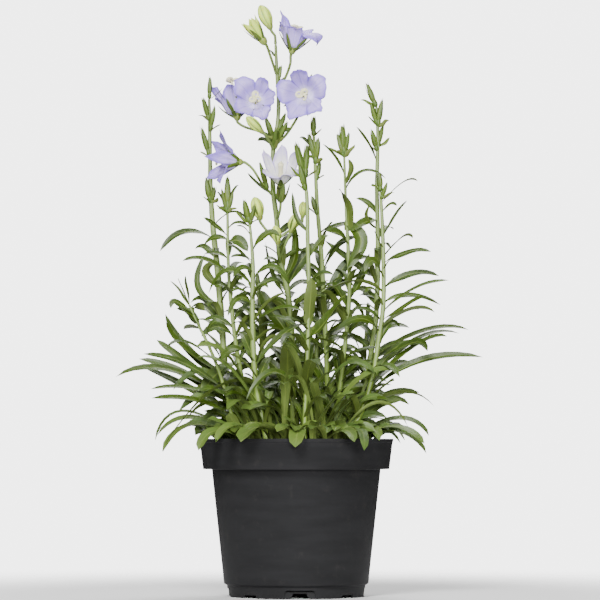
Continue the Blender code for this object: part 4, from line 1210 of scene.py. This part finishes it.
def lay_sepal(shape, points, side, width, draw):
    """One narrow blade whose flat side faces the bud."""

    def point_at(u, v):
        centre, _along, flat, up = blade_frame(points, side, v)
        place, face = blade_place(u)
        half = 0.5 * width * blade_outline(v, *SEPAL_LEAF)
        thick = 0.22 * MM * (1.0 - place**2) * (1.0 - 0.7 * v)
        drop = abs(place) ** 1.5 * half * 0.45 - face * thick
        return centre + flat * place * half - up * drop

    lay_grid(shape, 8, 7, point_at, draw.random())


def aim(axis, roll):
    """The turn that points +Z along an axis, after a roll in degrees about it."""
    turn = Vector(axis).normalized().to_track_quat("Z", "Y").to_matrix().to_4x4()
    return turn @ Matrix.Rotation(math.radians(roll), 4, "Z")


def lay_green_bud(core, bracts, base, tip, radius, draw):
    """A young bud: a slim core wrapped in sepals, with a leafy bract below it."""
    axis = (tip - base).normalized()
    reach = (tip - base).length
    heart = base + axis * 0.24 * reach
    girth = radius * 0.85 * MM
    lay_bud_core(core, base, base + axis * 0.44 * reach, girth, full_bud, 10, 7, 0.1)
    lay_bud_core(core, heart, base + axis * 0.97 * reach, girth, full_bud, 10, 9, 0.14)
    spots = [
        (radius * 0.6, 0.0),
        (radius * 0.95, 0.26 * reach / MM),
        (radius * draw.uniform(0.2, 0.6), 0.74 * reach / MM),
    ]
    lay_sepals(bracts, heart, axis, draw.uniform(0, 72), spots, radius * 1.05 * MM, draw)
    level = Vector((axis.x, axis.y, 0.0))
    out = level.normalized() if level.length > 0.05 else ray(reach * 9e3)
    length = draw.uniform(9.0, 16.0) * MM
    middle = base + out * 0.55 * length + upward(0.35 * length)
    tip = base + out * length + upward(draw.uniform(0.3, 0.9) * length)
    look = leaf_look(draw, 3.0 * MM, BRACT_LEAF)
    lay_leaf(bracts, [base, middle, tip], 4.4 * MM, look, rows=7)


def build_shoot(name):
    draw = random.Random(f"leaves of {name}")
    tree = node_tree(name)
    plant = bpy.context.scene.bellflower_plant
    stem = new_shape()
    lay_stem(stem, name, draw)
    if name == "shoot_main":
        for flower in STALKS:
            lay_stalk(stem, flower)
    finish_piece(f"{name}_stem", stem, "stem", [name], sharp=50)

    leaves = new_shape()
    for leaf in drawn_leaves(name) + spiral_leaves(name):
        path = settled(leaf, tree)
        width = leaf[3] * plant.leaf_fullness * MM
        lay_leaf(leaves, path, width, leaf_look(draw, width, facing=facing_of(path)))
    for path, width in extra_leaves(name, draw):
        lay_leaf(leaves, path, width * MM, leaf_look(draw, width * MM, facing=facing_of(path)))
    finish_piece(f"{name}_leaves", leaves, "leaf", sharp=60)

    if GREEN_BUDS[name]:
        core, bracts = new_shape(), new_shape()
        for base, tip, radius in GREEN_BUDS[name]:
            lay_green_bud(core, bracts, at(*base), at(*tip), radius, draw)
        finish_piece(f"{name}_buds", core, "green_bud")
        finish_piece(f"{name}_bracts", bracts, "bract", sharp=60)


# ---------------------------------------------------------------- rosette

def build_basal_leaves():
    root = COMPOST_TOP / MM + 2.1
    for number, row in enumerate(BASAL_LEAVES, start=1):
        x, y, mid_x, mid_z, tip_x, tip_z, depth, width = row
        name = f"basal_leaf_{number:02d}"
        draw = random.Random(f"look of {name}")
        leaf = ((x, y, root), (mid_x, y + 0.5 * depth, mid_z), (tip_x, y + depth, tip_z))
        path = settled(leaf, node_tree(name))
        path[0] = path[0] - upward(2.5 * MM)
        size = width * 1.45 * MM
        look = leaf_look(draw, size, ROSETTE_LEAF, facing_of(path))
        look["roll"] *= 0.75 if width < 9 else 0.4
        shape = new_shape()
        lay_leaf(shape, path, size, look, rows=14, columns=12)
        finish_piece(f"{name}_blade", shape, "rosette", [name], sharp=60)


def build_rosette_fill():
    """The many leaves between the shoots that hide the compost: low ones round the
    rim, taller ones further in."""
    draw = random.Random("rosette fill")
    shape = new_shape()
    count = 160
    for index in range(count):
        out = ray(math.radians(GOLDEN_ANGLE * index + draw.uniform(-12, 12)))
        share = math.sqrt((index + 0.5) / count)
        start = out * (8.0 + 66.0 * share)
        start.z = COMPOST_TOP / MM - 2.0
        tall = share < 0.66
        length = draw.uniform(70, 118) if tall else draw.uniform(38, 66)
        height = draw.uniform(0.9, 1.7) if tall else draw.uniform(0.4, 0.9)
        sideways = Vector((-out.y, out.x, 0.0)) * draw.uniform(-1.3, 1.3)
        lean = (out * draw.uniform(0.3, 1.0) + sideways).normalized()
        middle = start + (lean * 0.45 + upward(height * 0.62)) * length * 0.72
        tip = middle + (lean * 0.75 + upward(draw.uniform(-0.3, 0.55))) * length * 0.5
        at_front = tip.y < -58.0
        inside = at_front or Vector((tip.x, tip.y)).length * MM < RIM_RADIUS + 3.0 * MM
        tip.z = max(tip.z, RIM_TOP / MM + draw.uniform(4.0, 16.0) if inside else LOWEST_TIP)
        middle.z = max(middle.z, RIM_TOP / MM + 9.0)
        width = (draw.uniform(7.0, 11.0) if tall else draw.uniform(8.0, 13.0)) * MM
        look = leaf_look(draw, width, ROSETTE_LEAF, facing_of([start, middle, tip]))
        look["roll"] *= 0.8
        lay_leaf(shape, [start * MM, middle * MM, tip * MM], width, look, rows=11)
    finish_piece("rosette_small_leaves", shape, "rosette", sharp=60)


def build_back_fill():
    """Upright leaves behind the shoots, which close the gaps above the rim."""
    draw = random.Random("back fill")
    shape = new_shape()
    count = 64
    for index in range(count):
        x = 136.0 * ((index + 0.5) / count - 0.5)
        y = draw.uniform(0.1, 0.75) * math.sqrt(78.0**2 - x**2)
        start = Vector((x, y, COMPOST_TOP / MM - 2.0))
        length = draw.uniform(60.0, 105.0)
        lean = Vector((draw.uniform(-0.55, 0.55), draw.uniform(-0.1, 0.4), 0.0))
        middle = start + (lean * 0.4 + upward(1.0)) * length * 0.5
        tip = middle + (lean * 1.1 + upward(draw.uniform(0.0, 0.8))) * length * 0.5
        width = draw.uniform(6.5, 10.0) * MM
        look = leaf_look(draw, width, STEM_LEAF, facing_of([start, middle, tip]))
        lay_leaf(shape, [start * MM, middle * MM, tip * MM], width, look)
    finish_piece("back_leaves", shape, "leaf", sharp=60)


# ---------------------------------------------------------------- flowers

# Radius and height of the bell's wall, as shares of the mouth's radius and the length
BELL_OUTLINE = (
    (0.10, 0.0), (0.33, 0.015), (0.50, 0.11), (0.61, 0.29), (0.70, 0.50),
    (0.79, 0.71), (0.89, 0.88), (1.0, 1.0),
)


def bell_spot(reach):
    """The bell's outline at a reach from 0 to 1."""
    place = min(reach, 0.9999) * (len(BELL_OUTLINE) - 1)
    return between(BELL_OUTLINE, int(place), place - int(place))


def bell_at(reach, length, mouth, lobe, flare, curl):
    """Radius and height at a reach of 1 at the notches, up to 2 at the lobes' tips."""
    radius, height = bell_spot(min(reach, 1.0))
    radius, height = radius * mouth, height * length
    beyond = max(0.0, reach - 1.0)
    steps = 6
    for step in range(steps):
        angle = math.radians(flare + curl * (step + 0.5) / steps * beyond)
        radius += math.sin(angle) * beyond * lobe / steps
        height += math.cos(angle) * beyond * lobe / steps
    return radius, height


def bell_radius(height, length, mouth):
    """Outer radius of the bell's wall at a height above its throat."""
    steps = 60
    for step in range(steps):
        radius, rise = bell_spot(step / steps)
        if rise * length >= height:
            break
    return radius * mouth


def lobe_offset(angle):
    """From -0.5 to 0.5 across the lobe at an angle."""
    return (angle * LOBES / math.tau + 0.5) % 1.0 - 0.5


def lobe_crest(angle, fullness=0.25):
    """1 at a lobe's point and 0 in the notch beside it, and the reverse of that."""
    place = abs(lobe_offset(angle)) * 2.0
    round_part = max(0.0, 1.0 - place**2.4) ** 0.6
    point = 0.1 * math.exp(-((place / 0.1) ** 2))
    return fullness * round_part + (0.9 - fullness) * (1.0 - place) + point, place


def lobe_direction(place, widths):
    """Angle round the flower of a place counted in lobes, some wider than others."""
    index = int(place + 0.5)
    width = widths[index % LOBES]
    before = sum(widths[:index]) - 0.5 * widths[0]
    return math.tau * (before + (place + 0.5 - index) * width) / sum(widths)


def build_corolla(flower):
    axis, length, mouth, lobe, flare, curl, roll, paleness, _pistil = FLOWERS[flower]
    draw = random.Random(f"petals of {flower}")
    base = at(*STALKS[flower][-1])
    turn = aim(axis, roll)
    phases = [draw.uniform(0, math.tau) for _ in range(4)]
    tilts = [draw.choice((-1.0, 1.0)) * draw.uniform(1.0, 3.5) for _ in range(LOBES)]
    ruffle, fullness = (1.4, 0.22) if paleness < YOUNG else (0.7, 0.5)
    widths = [row[3] for row in LOBE_SHAPES[flower]]

    def point_at(u, v):
        angle = math.tau * u
        crest, place = lobe_crest(angle, fullness)
        reach = v * (1.0 + crest)
        index = int((angle * LOBES / math.tau + 0.5) % LOBES)
        more_flare, more_curl, longer, _width, twist = LOBE_SHAPES[flower][index]
        radius, height = bell_at(
            reach, length, mouth, lobe * longer, flare + more_flare, curl + more_curl)
        rim = v**3
        rise = (tilts[index] + twist) * lobe_offset(angle) * 2.0
        height += rise * rim * (1.0 - place**4)
        height += ruffle * rim * math.sin(7.0 * angle + phases[0])
        height += 0.8 * ruffle * rim * math.sin(12.0 * angle + phases[1]) * (0.5 + place)
        radius += 0.7 * ruffle * rim * math.sin(9.0 * angle + phases[2])
        radius += 0.3 * ruffle * rim * math.sin(23.0 * angle + phases[1])
        radius -= 1.1 * math.exp(-((place / 0.15) ** 2)) * min(1.0, v * 2.0)
        height -= 1.4 * place**6 * v**2
        radius += 0.8 * place**4 * min(1.0, v * 2.0) * (1.0 - 0.5 * v)
        swirl = lobe_direction(LOBES * u, widths) + 0.07 * math.sin(4.0 * angle + phases[3]) * v
        height += OVARY_LENGTH + 0.2
        point = Vector((radius * math.cos(swirl), radius * math.sin(swirl), height))
        return base + turn @ (point * MM)

    shape = new_shape()
    lay_grid(shape, 100, 20, point_at, draw.random())
    finish = "young_petal" if paleness > YOUNG else "petal"
    wall = bpy.context.scene.bellflower_flowers.petal_thickness
    finish_piece(f"{flower}_corolla", shape, finish, [f"{flower}_petals"], wall=wall)


def ovary_outline(share):
    """Girth of an ovary or a bud's cup along its length."""
    return math.sin(math.pi * (0.12 + 0.62 * share)) ** 0.9


def build_calyx(flower):
    axis, length, mouth, _lobe, _flare, _curl, roll, paleness, _pistil = FLOWERS[flower]
    axis = Vector(axis).normalized()
    draw = random.Random(f"calyx of {flower}")
    base = at(*STALKS[flower][-1])
    shape = new_shape()
    lay_bud_core(
        shape, base - axis * 0.5 * MM, base + axis * (OVARY_LENGTH + 1.5) * MM,
        OVARY_RADIUS * MM, ovary_outline, 20, 9, 0.09,
    )
    finish_piece(f"{flower}_ovary", shape, "ovary", [f"{flower}_calyx"])
    sepals = new_shape()
    spots = [(OVARY_RADIUS * 0.75, 0.45 * OVARY_LENGTH)]
    for rise, gap in ((5.5, 1.2), (13.5, 2.6)):
        spots.append((bell_radius(rise, length, mouth) + gap, OVARY_LENGTH + rise))
    lay_sepals(sepals, base, axis, roll + 36.0, spots, 4.6 * MM, draw)
    if paleness > YOUNG:
        below = base - upward(15.0 * MM)
        spots = ((1.5, 0.0), (6.5, 8.0), (9.0, 20.0))
        lay_sepals(sepals, below, (0.0, 0.0, 1.0), 20.0, spots, 6.0 * MM, draw, count=4)
    finish_piece(f"{flower}_sepals", sepals, "bract", sharp=60)


def build_pistil(flower):
    axis, _length, _mouth, _lobe, _flare, _curl, roll, paleness, reach = FLOWERS[flower]
    base = at(*STALKS[flower][-1])
    turn = aim(axis, roll + 20.0)
    shape = new_shape()
    foot, top = OVARY_LENGTH + 0.5, OVARY_LENGTH + reach
    young = paleness > YOUNG
    stout, curl = (2.2, 1.2) if young else (1.0, 3.4)
    points, radii = [], []
    steps = 12
    for step in range(steps + 1):
        share = step / steps
        points.append(base + turn @ (upward(foot + (top - foot) * step / steps) * MM))
        waist = 0.25 * math.sin(math.pi * step / steps)
        radii.append((1.25 - waist + 0.3 * share**5) * stout * MM)
    lay_tube(shape, points, radii, 12)
    for arm, roll_up in enumerate((560.0, 520.0, 260.0)):
        turned = turn @ Matrix.Rotation(arm * math.tau / 3, 4, "Z")
        lay_stigma(shape, base, turned, top, curl, 60.0 if young else roll_up)
    for rib in range(LOBES):
        lay_filament(shape, base, turn @ Matrix.Rotation(rib * math.tau / LOBES, 4, "Z"), foot)
    finish_piece(f"{flower}_style", shape, "pistil", [f"{flower}_pistil"])


def lay_stigma(shape, base, turn, top, curl, roll_up):
    """One arm of the stigma, rolled up like a spring's end."""
    steps = 30
    lean = Vector((0.0, 0.90, 0.44))
    points = []
    for step in range(steps + 1):
        share = step / steps
        angle = share * math.radians(roll_up)
        size = curl * (1.0 - 0.62 * share)
        out = Vector((1.0, 0.0, 0.0)) * (curl - size * math.cos(angle))
        point = upward(top - 0.8) + out + lean * size * math.sin(angle)
        point.z += 0.5 * share * curl
        points.append(base + turn @ (point * MM))
    radii = [(1.3 - 0.45 * step / steps) * MM for step in range(steps + 1)]
    lay_tube(shape, points, radii, 8)


def lay_filament(shape, base, turn, foot):
    """The broad foot of a stamen and its withered thread, lying against the style."""
    shares = (0.0, 0.17, 0.33, 0.5, 0.67, 0.83, 1.0)
    radii = (0.9, 0.85, 0.7, 0.5, 0.35, 0.3, 0.2)
    points = [
        base + turn @ at(1.6 + 1.6 * math.sin(share * 2.6), 0.0, foot + 8.0 * share)
        for share in shares
    ]
    lay_tube(shape, points, [radius * MM for radius in radii], 6)


# ---------------------------------------------------------------- coloured buds

def plump_bud(share):
    """Girth of a coloured bud along its length."""
    return math.sin(math.pi * (0.1 + 0.9 * share)) ** 0.6 * (0.86 + 0.26 * share)


def build_bud(bud):
    axis, length, radius = BUDS[bud]
    axis = Vector(axis).normalized()
    draw = random.Random(f"sepals of {bud}")
    base = at(*STALKS[bud][-1])
    opening, small = bud == OPENING_BUD, radius < 5.0
    calyx = 0.2 * length
    body = new_shape()
    if opening:
        lay_opening_bell(body, base + axis * calyx * 0.8 * MM, axis, length - calyx, 1.15 * radius)
    else:
        lay_bud_core(
            body, base + axis * 0.12 * length * MM, base + axis * 1.04 * length * MM,
            1.16 * radius * MM, plump_bud, 30, 16, 0.09,
        )
    finish_piece(f"{bud}_body", body, "bud", [bud], wall=0.5 * MM if opening else 0.0)
    cup = new_shape()
    lay_bud_core(
        cup, base - axis * 0.5 * MM, base + axis * calyx * 1.5 * MM, 0.62 * radius * MM,
        ovary_outline, 15, 8, 0.09,
    )
    finish_piece(f"{bud}_cup", cup, "ovary")
    sepals = new_shape()
    spots = [
        (0.4 * radius, 0.0),
        ((0.95 if opening else 0.98) * radius, 0.24 * length),
        ((1.45 if opening else 0.95) * radius, (0.62 if small or opening else 0.52) * length),
    ]
    lay_sepals(sepals, base + axis * 0.8 * calyx * MM, axis, 36.0, spots, 0.62 * radius * MM, draw)
    finish_piece(f"{bud}_sepals", sepals, "bract", sharp=60)


def lay_opening_bell(shape, base, axis, length, radius):
    """A bell whose five lobes have just parted."""
    turn = aim(axis, 12.0)

    def point_at(u, v):
        angle = math.tau * u
        crest, place = lobe_crest(angle)
        reach = v * (0.70 + 0.30 * crest)
        grown = math.sin(math.pi * min(0.62, 0.06 + 0.62 * reach)) ** 0.9
        size = radius * grown * (1.0 - 0.28 * place**2 * v) + 1.6 * crest * v**4
        point = Vector((size * math.cos(angle), size * math.sin(angle), length * reach * 1.05))
        return base + turn @ (point * MM)

    lay_grid(shape, 60, 16, point_at)


# ---------------------------------------------------------------- pot and compost

def rounded(profile, radius):
    """The profile with each inner corner replaced by a short arc."""
    points = [Vector(profile[0])]
    for before, corner, after in zip(profile, profile[1:], profile[2:]):
        corner = Vector(corner)
        back, ahead = Vector(before) - corner, Vector(after) - corner
        trim = min(radius, 0.45 * back.length, 0.45 * ahead.length)
        start = corner + back.normalized() * trim
        end = corner + ahead.normalized() * trim
        for share in (0.0, 0.25, 0.5, 0.75, 1.0):
            points.append(curve_point(start, corner, end, share))
    points.append(Vector(profile[-1]))
    return points


def spin_profile(shape, profile, steps):
    """Turn a section round the upright axis into a closed solid."""
    verts = [shape.verts.new((point[0] * MM, 0.0, point[1] * MM)) for point in profile]
    edges = [shape.edges.new(pair) for pair in zip(verts, verts[1:])]
    bmesh.ops.spin(
        shape, geom=verts + edges, cent=(0, 0, 0), axis=(0, 0, 1), angle=math.tau,
        steps=steps, use_merge=True,
    )
    bmesh.ops.remove_doubles(shape, verts=shape.verts, dist=WELD_DISTANCE)
    bmesh.ops.recalc_face_normals(shape, faces=shape.faces)


def pot_profile(wall):
    """The pot's section, from its floor's middle up inside and down outside."""
    rim, band, step, foot, ledge = 95.0, 90.9, 82.4, 66.6, 70.5
    top, seam = 153.3, 123.8
    return [
        (0.0, 7.0), (foot - wall + 0.3, 7.0), (foot - wall + 0.6, 11.0), (ledge - wall, 13.8),
        (step - wall, seam + wall), (band - wall, seam + wall), (rim - wall, top),
        (rim, top), (rim - 0.5, top - 3.6), (rim - 0.9, top - 3.7), (band, seam),
        (step, seam), (ledge, 12.8), (foot + 0.9, 11.0), (foot, 0.0),
        (foot - wall, 0.0), (foot - wall, 5.0), (0.0, 5.0),
    ]


def round_edges(shape, edges, radius, segments):
    """Round edges to a radius in millimetres."""
    bmesh.ops.bevel(
        shape, geom=edges, offset=radius * MM, offset_type="OFFSET", segments=segments,
        profile=0.5, affect="EDGES", material=-1,
    )


def edge_span(edge):
    return edge.verts[0].co - edge.verts[1].co


def notch_cutter():
    """Rounded blocks that open the foot ring: drain notches and shallow ones in turn."""
    shape = bmesh.new()
    for index in range(8):
        width, height, corner = (30.0, 8.2, 3.4) if index % 2 == 0 else (16.0, 3.0, 1.2)
        size = Matrix.Diagonal((7.2 * MM, width * MM, 2.0 * height * MM, 1.0))
        middle = Matrix.Translation((65.9 * MM, 0.0, 0.0))
        turn = Matrix.Rotation(math.radians(NOTCH_TURN + index * 45.0), 4, "Z")
        verts = bmesh.ops.create_cube(shape, size=1.0, matrix=turn @ middle @ size)["verts"]
        outward = turn @ Vector((1.0, 0.0, 0.0))
        corners = [
            edge for edge in shape.edges
            if all(vert in verts and vert.co.z > 0 for vert in edge.verts)
            and abs(edge_span(edge).normalized().dot(outward)) > 0.9
        ]
        round_edges(shape, corners, corner, 5)
    return mesh_object("notch_cutter", shape)


def lay_drain_tabs(shape):
    """The quarter-round tabs that narrow each drain notch behind the foot ring."""
    for index in range(4):
        turn = Matrix.Rotation(math.radians(NOTCH_TURN + index * 90.0), 4, "Z")
        for side in (-1.0, 1.0):
            verts = bmesh.ops.create_cube(shape, size=1.0)["verts"]
            for vert in verts:
                inner = vert.co.y * side > 0.0
                y = side * (17.0 if inner else 6.5)
                z = 0.4 if vert.co.z < 0 else 6.4
                x = 62.2 + (1.6 if vert.co.x > 0 else 0.0) - (0.9 if inner else 0.0)
                vert.co = turn @ Vector((x * MM, y * MM, z * MM))
            near = [
                edge for edge in shape.edges
                if all(vert in verts and vert.co.z < 1.0 * MM for vert in edge.verts)
                and abs(edge_span(edge).length - 1.6 * MM) < 0.3 * MM
                and abs((turn.inverted() @ edge.verts[0].co).y) < 8.0 * MM
            ]
            round_edges(shape, near, 5.2, 6)


def build_pot():
    wall = bpy.context.scene.bellflower_pot.wall / MM
    shape = new_shape()
    spin_profile(shape, rounded(pot_profile(wall), 0.45), 160)
    blank, cutter = mesh_object("nursery_pot_blank", shape), notch_cutter()
    cut = blank.modifiers.new("notches", "BOOLEAN")
    cut.operation = "DIFFERENCE"
    cut.solver = "EXACT"
    cut.object = cutter
    depsgraph = bpy.context.evaluated_depsgraph_get()
    cut_mesh = bpy.data.meshes.new_from_object(blank.evaluated_get(depsgraph))
    bpy.data.objects.remove(blank)
    bpy.data.objects.remove(cutter)
    body = bmesh.new()
    body.from_mesh(cut_mesh)
    lay_drain_tabs(body)
    finish_piece("nursery_pot", body, "plastic", ["pot"], sharp=35)


def build_compost():
    """A rough surface and the side and floor under it, out to the pot's wall."""
    top = COMPOST_TOP - 0.8 * MM
    edge = 0.8

    def point_at(u, v):
        angle = math.tau * u
        if v <= edge:
            reach = COMPOST_RADIUS * v / edge
            point = Vector((reach * math.cos(angle), reach * math.sin(angle), top))
            clods = noise.fractal(point * 55.0, 0.7, 2.1, 4) * 1.6
            bumps = clods + noise.noise(point * 320.0) * 0.8
            point.z += bumps * MM * (1.0 - 0.5 * (v / edge) ** 6)
            return point
        drop = (v - edge) / 0.2
        reach = COMPOST_RADIUS * (1.0 - 0.02 * drop) if v < 1.0 else 0.0
        return Vector((reach * math.cos(angle), reach * math.sin(angle), top - 12.0 * MM * drop))

    shape = new_shape()
    lay_grid(shape, 150, 50, point_at)
    bmesh.ops.recalc_face_normals(shape, faces=shape.faces)
    finish_piece("compost_surface", shape, "compost", ["compost"])
    build_crumbs(top)


def build_crumbs(top):
    """Loose crumbs of compost lying on its surface."""
    draw = random.Random("compost crumbs")
    shape = new_shape()
    for _ in range(420):
        angle = draw.uniform(0.0, math.tau)
        reach = COMPOST_RADIUS * 0.97 * math.sqrt(draw.random())
        size = draw.uniform(0.6, 2.2) * MM
        stretch = Matrix.Diagonal(
            (draw.uniform(0.7, 1.8), draw.uniform(0.6, 1.2), draw.uniform(0.4, 0.8), 1.0))
        turn = Matrix.Rotation(draw.uniform(0.0, math.tau), 4, "Z")
        x, y = reach * math.cos(angle), reach * math.sin(angle)
        spot = Matrix.Translation((x, y, top + 0.5 * MM))
        bmesh.ops.create_icosphere(shape, subdivisions=1, radius=size, matrix=spot @ turn @ stretch)
    finish_piece("compost_crumbs", shape, "compost")


# ---------------------------------------------------------------- stage

def build_floor():
    """A pale disc that fades out towards its edge."""
    shape = bmesh.new()
    bmesh.ops.create_circle(shape, cap_ends=True, segments=96, radius=FLOOR_RADIUS)
    floor = mesh_object("studio_floor", shape)
    made, graph = new_material("studio_floor_white")
    cloud = graph.noise(graph.place(), 1.2, 2.0)
    far = graph.node("ShaderNodeVectorMath", operation="LENGTH")
    graph.feed(far.inputs[0], graph.place())
    shade(
        made, graph, Base_Color=graph.mix(cloud, (0.93, 0.93, 0.93), (0.96, 0.96, 0.96)),
        Roughness=0.8,
        Alpha=graph.ramp(
            far.outputs["Value"], 0.3 * FLOOR_RADIUS, 0.97 * FLOOR_RADIUS, 1.0, 0.0),
    )
    floor.data.materials.append(made)


def look_at(made, spot, target):
    """Put a light or camera at a spot and turn it to a target."""
    made.location = spot
    made.rotation_euler = (Vector(target) - Vector(spot)).to_track_quat("-Z", "Y").to_euler()


# Disc lights aimed at the plant's middle: place, diameter, power
LIGHTS = {
    "key_light": ((-0.9, -2.8, 2.2), 1.1, 150.0),
    "fill_light": ((0.5, -3.2, 0.7), 1.0, 95.0),
    "top_light": ((0.3, 1.2, 2.5), 1.4, 62.0),
}


def build_lights():
    for name, (spot, size, power) in LIGHTS.items():
        data = bpy.data.lights.new(name, "AREA")
        data.shape, data.size, data.energy = "DISK", size, power
        look_at(new_object(name, data), spot, (0.0, 0.0, 0.3))


def build_world():
    """A white surround that is softer ahead and below, and bright where it is seen."""
    world = bpy.data.worlds.new("studio_white")
    world.use_nodes = True
    graph = Graph(world.node_tree)
    way = graph.split(graph.node("ShaderNodeTexCoord").outputs["Generated"])
    ahead = graph.ramp(way[1], -0.98, -0.4, 0.62, 0.10)
    above = graph.ramp(way[2], -0.4, 0.3, 0.4, 1.0)
    seen = graph.node("ShaderNodeLightPath").outputs["Is Camera Ray"]
    graph.feed_all(
        world.node_tree.nodes["Background"].inputs, Color=(1.0, 1.0, 1.0),
        Strength=graph.plus(graph.times(ahead, above), graph.times(seen, 4.4)),
    )
    bpy.context.scene.world = world


def build_camera():
    data = bpy.data.cameras.new("front_view")
    data.sensor_width = 36.0
    data.lens = 202.5
    camera = new_object("front_view", data)
    look_at(camera, (0.0, -3.3, 0.15), (0.0037, 0.0, 0.289))
    bpy.context.scene.camera = camera


# ---------------------------------------------------------------- operators and panel

class BELLFLOWER_OT_pot(bpy.types.Operator):
    """Build the nursery pot and the compost in it"""
    bl_idname = "bellflower.pot"
    bl_label = "Pot and Compost"

    def execute(self, context):
        build_pot()
        build_compost()
        return {"FINISHED"}


class BELLFLOWER_OT_shoots(bpy.types.Operator):
    """Build every shoot: stem, leaves, green buds and bracts"""
    bl_idname = "bellflower.shoots"
    bl_label = "Shoots"

    def execute(self, context):
        for name in STEMS:
            build_shoot(name)
        return {"FINISHED"}


class BELLFLOWER_OT_rosette(bpy.types.Operator):
    """Build the leaves that grow straight from the compost"""
    bl_idname = "bellflower.rosette"
    bl_label = "Rosette"

    def execute(self, context):
        build_basal_leaves()
        build_rosette_fill()
        build_back_fill()
        return {"FINISHED"}


class BELLFLOWER_OT_flowers(bpy.types.Operator):
    """Build the open flowers: corolla, calyx and pistil"""
    bl_idname = "bellflower.flowers"
    bl_label = "Flowers"

    def execute(self, context):
        for flower in FLOWERS:
            build_corolla(flower)
            build_calyx(flower)
            build_pistil(flower)
        return {"FINISHED"}


class BELLFLOWER_OT_buds(bpy.types.Operator):
    """Build the closed buds that show colour"""
    bl_idname = "bellflower.buds"
    bl_label = "Buds"

    def execute(self, context):
        for bud in BUDS:
            build_bud(bud)
        return {"FINISHED"}


class BELLFLOWER_OT_stage(bpy.types.Operator):
    """Build the floor, the lights and the camera"""
    bl_idname = "bellflower.stage"
    bl_label = "Stage"

    def execute(self, context):
        build_floor()
        build_world()
        build_lights()
        build_camera()
        return {"FINISHED"}


class BELLFLOWER_PT_panel(bpy.types.Panel):
    bl_idname = "BELLFLOWER_PT_panel"
    bl_label = "Potted Bellflower"
    bl_space_type = "VIEW_3D"
    bl_region_type = "UI"
    bl_category = "Bellflower"

    def draw(self, context):
        for name in SETTINGS:
            settings = getattr(context.scene, name)
            for key in settings.bl_rna.properties.keys():
                if key not in ("rna_type", "name"):
                    self.layout.prop(settings, key)
        for operator in OPERATORS:
            self.layout.operator(operator.bl_idname)


OPERATORS = (
    BELLFLOWER_OT_stage, BELLFLOWER_OT_pot, BELLFLOWER_OT_shoots,
    BELLFLOWER_OT_rosette, BELLFLOWER_OT_flowers, BELLFLOWER_OT_buds,
)
SETTINGS = {
    "bellflower_pot": BellflowerPotSettings,
    "bellflower_plant": BellflowerPlantSettings,
    "bellflower_flowers": BellflowerFlowerSettings,
}


def register():
    for cls in (*SETTINGS.values(), *OPERATORS, BELLFLOWER_PT_panel):
        bpy.utils.register_class(cls)
    for name, settings in SETTINGS.items():
        setattr(bpy.types.Scene, name, bpy.props.PointerProperty(type=settings))


def unregister():
    for name in SETTINGS:
        delattr(bpy.types.Scene, name)
    for cls in (BELLFLOWER_PT_panel, *reversed(OPERATORS), *reversed(SETTINGS.values())):
        bpy.utils.unregister_class(cls)


def main():
    register()
    bpy.ops.bellflower.stage()
    bpy.ops.bellflower.pot()
    bpy.ops.bellflower.shoots()
    bpy.ops.bellflower.rosette()
    bpy.ops.bellflower.flowers()
    bpy.ops.bellflower.buds()


if __name__ == "__main__":
    main()
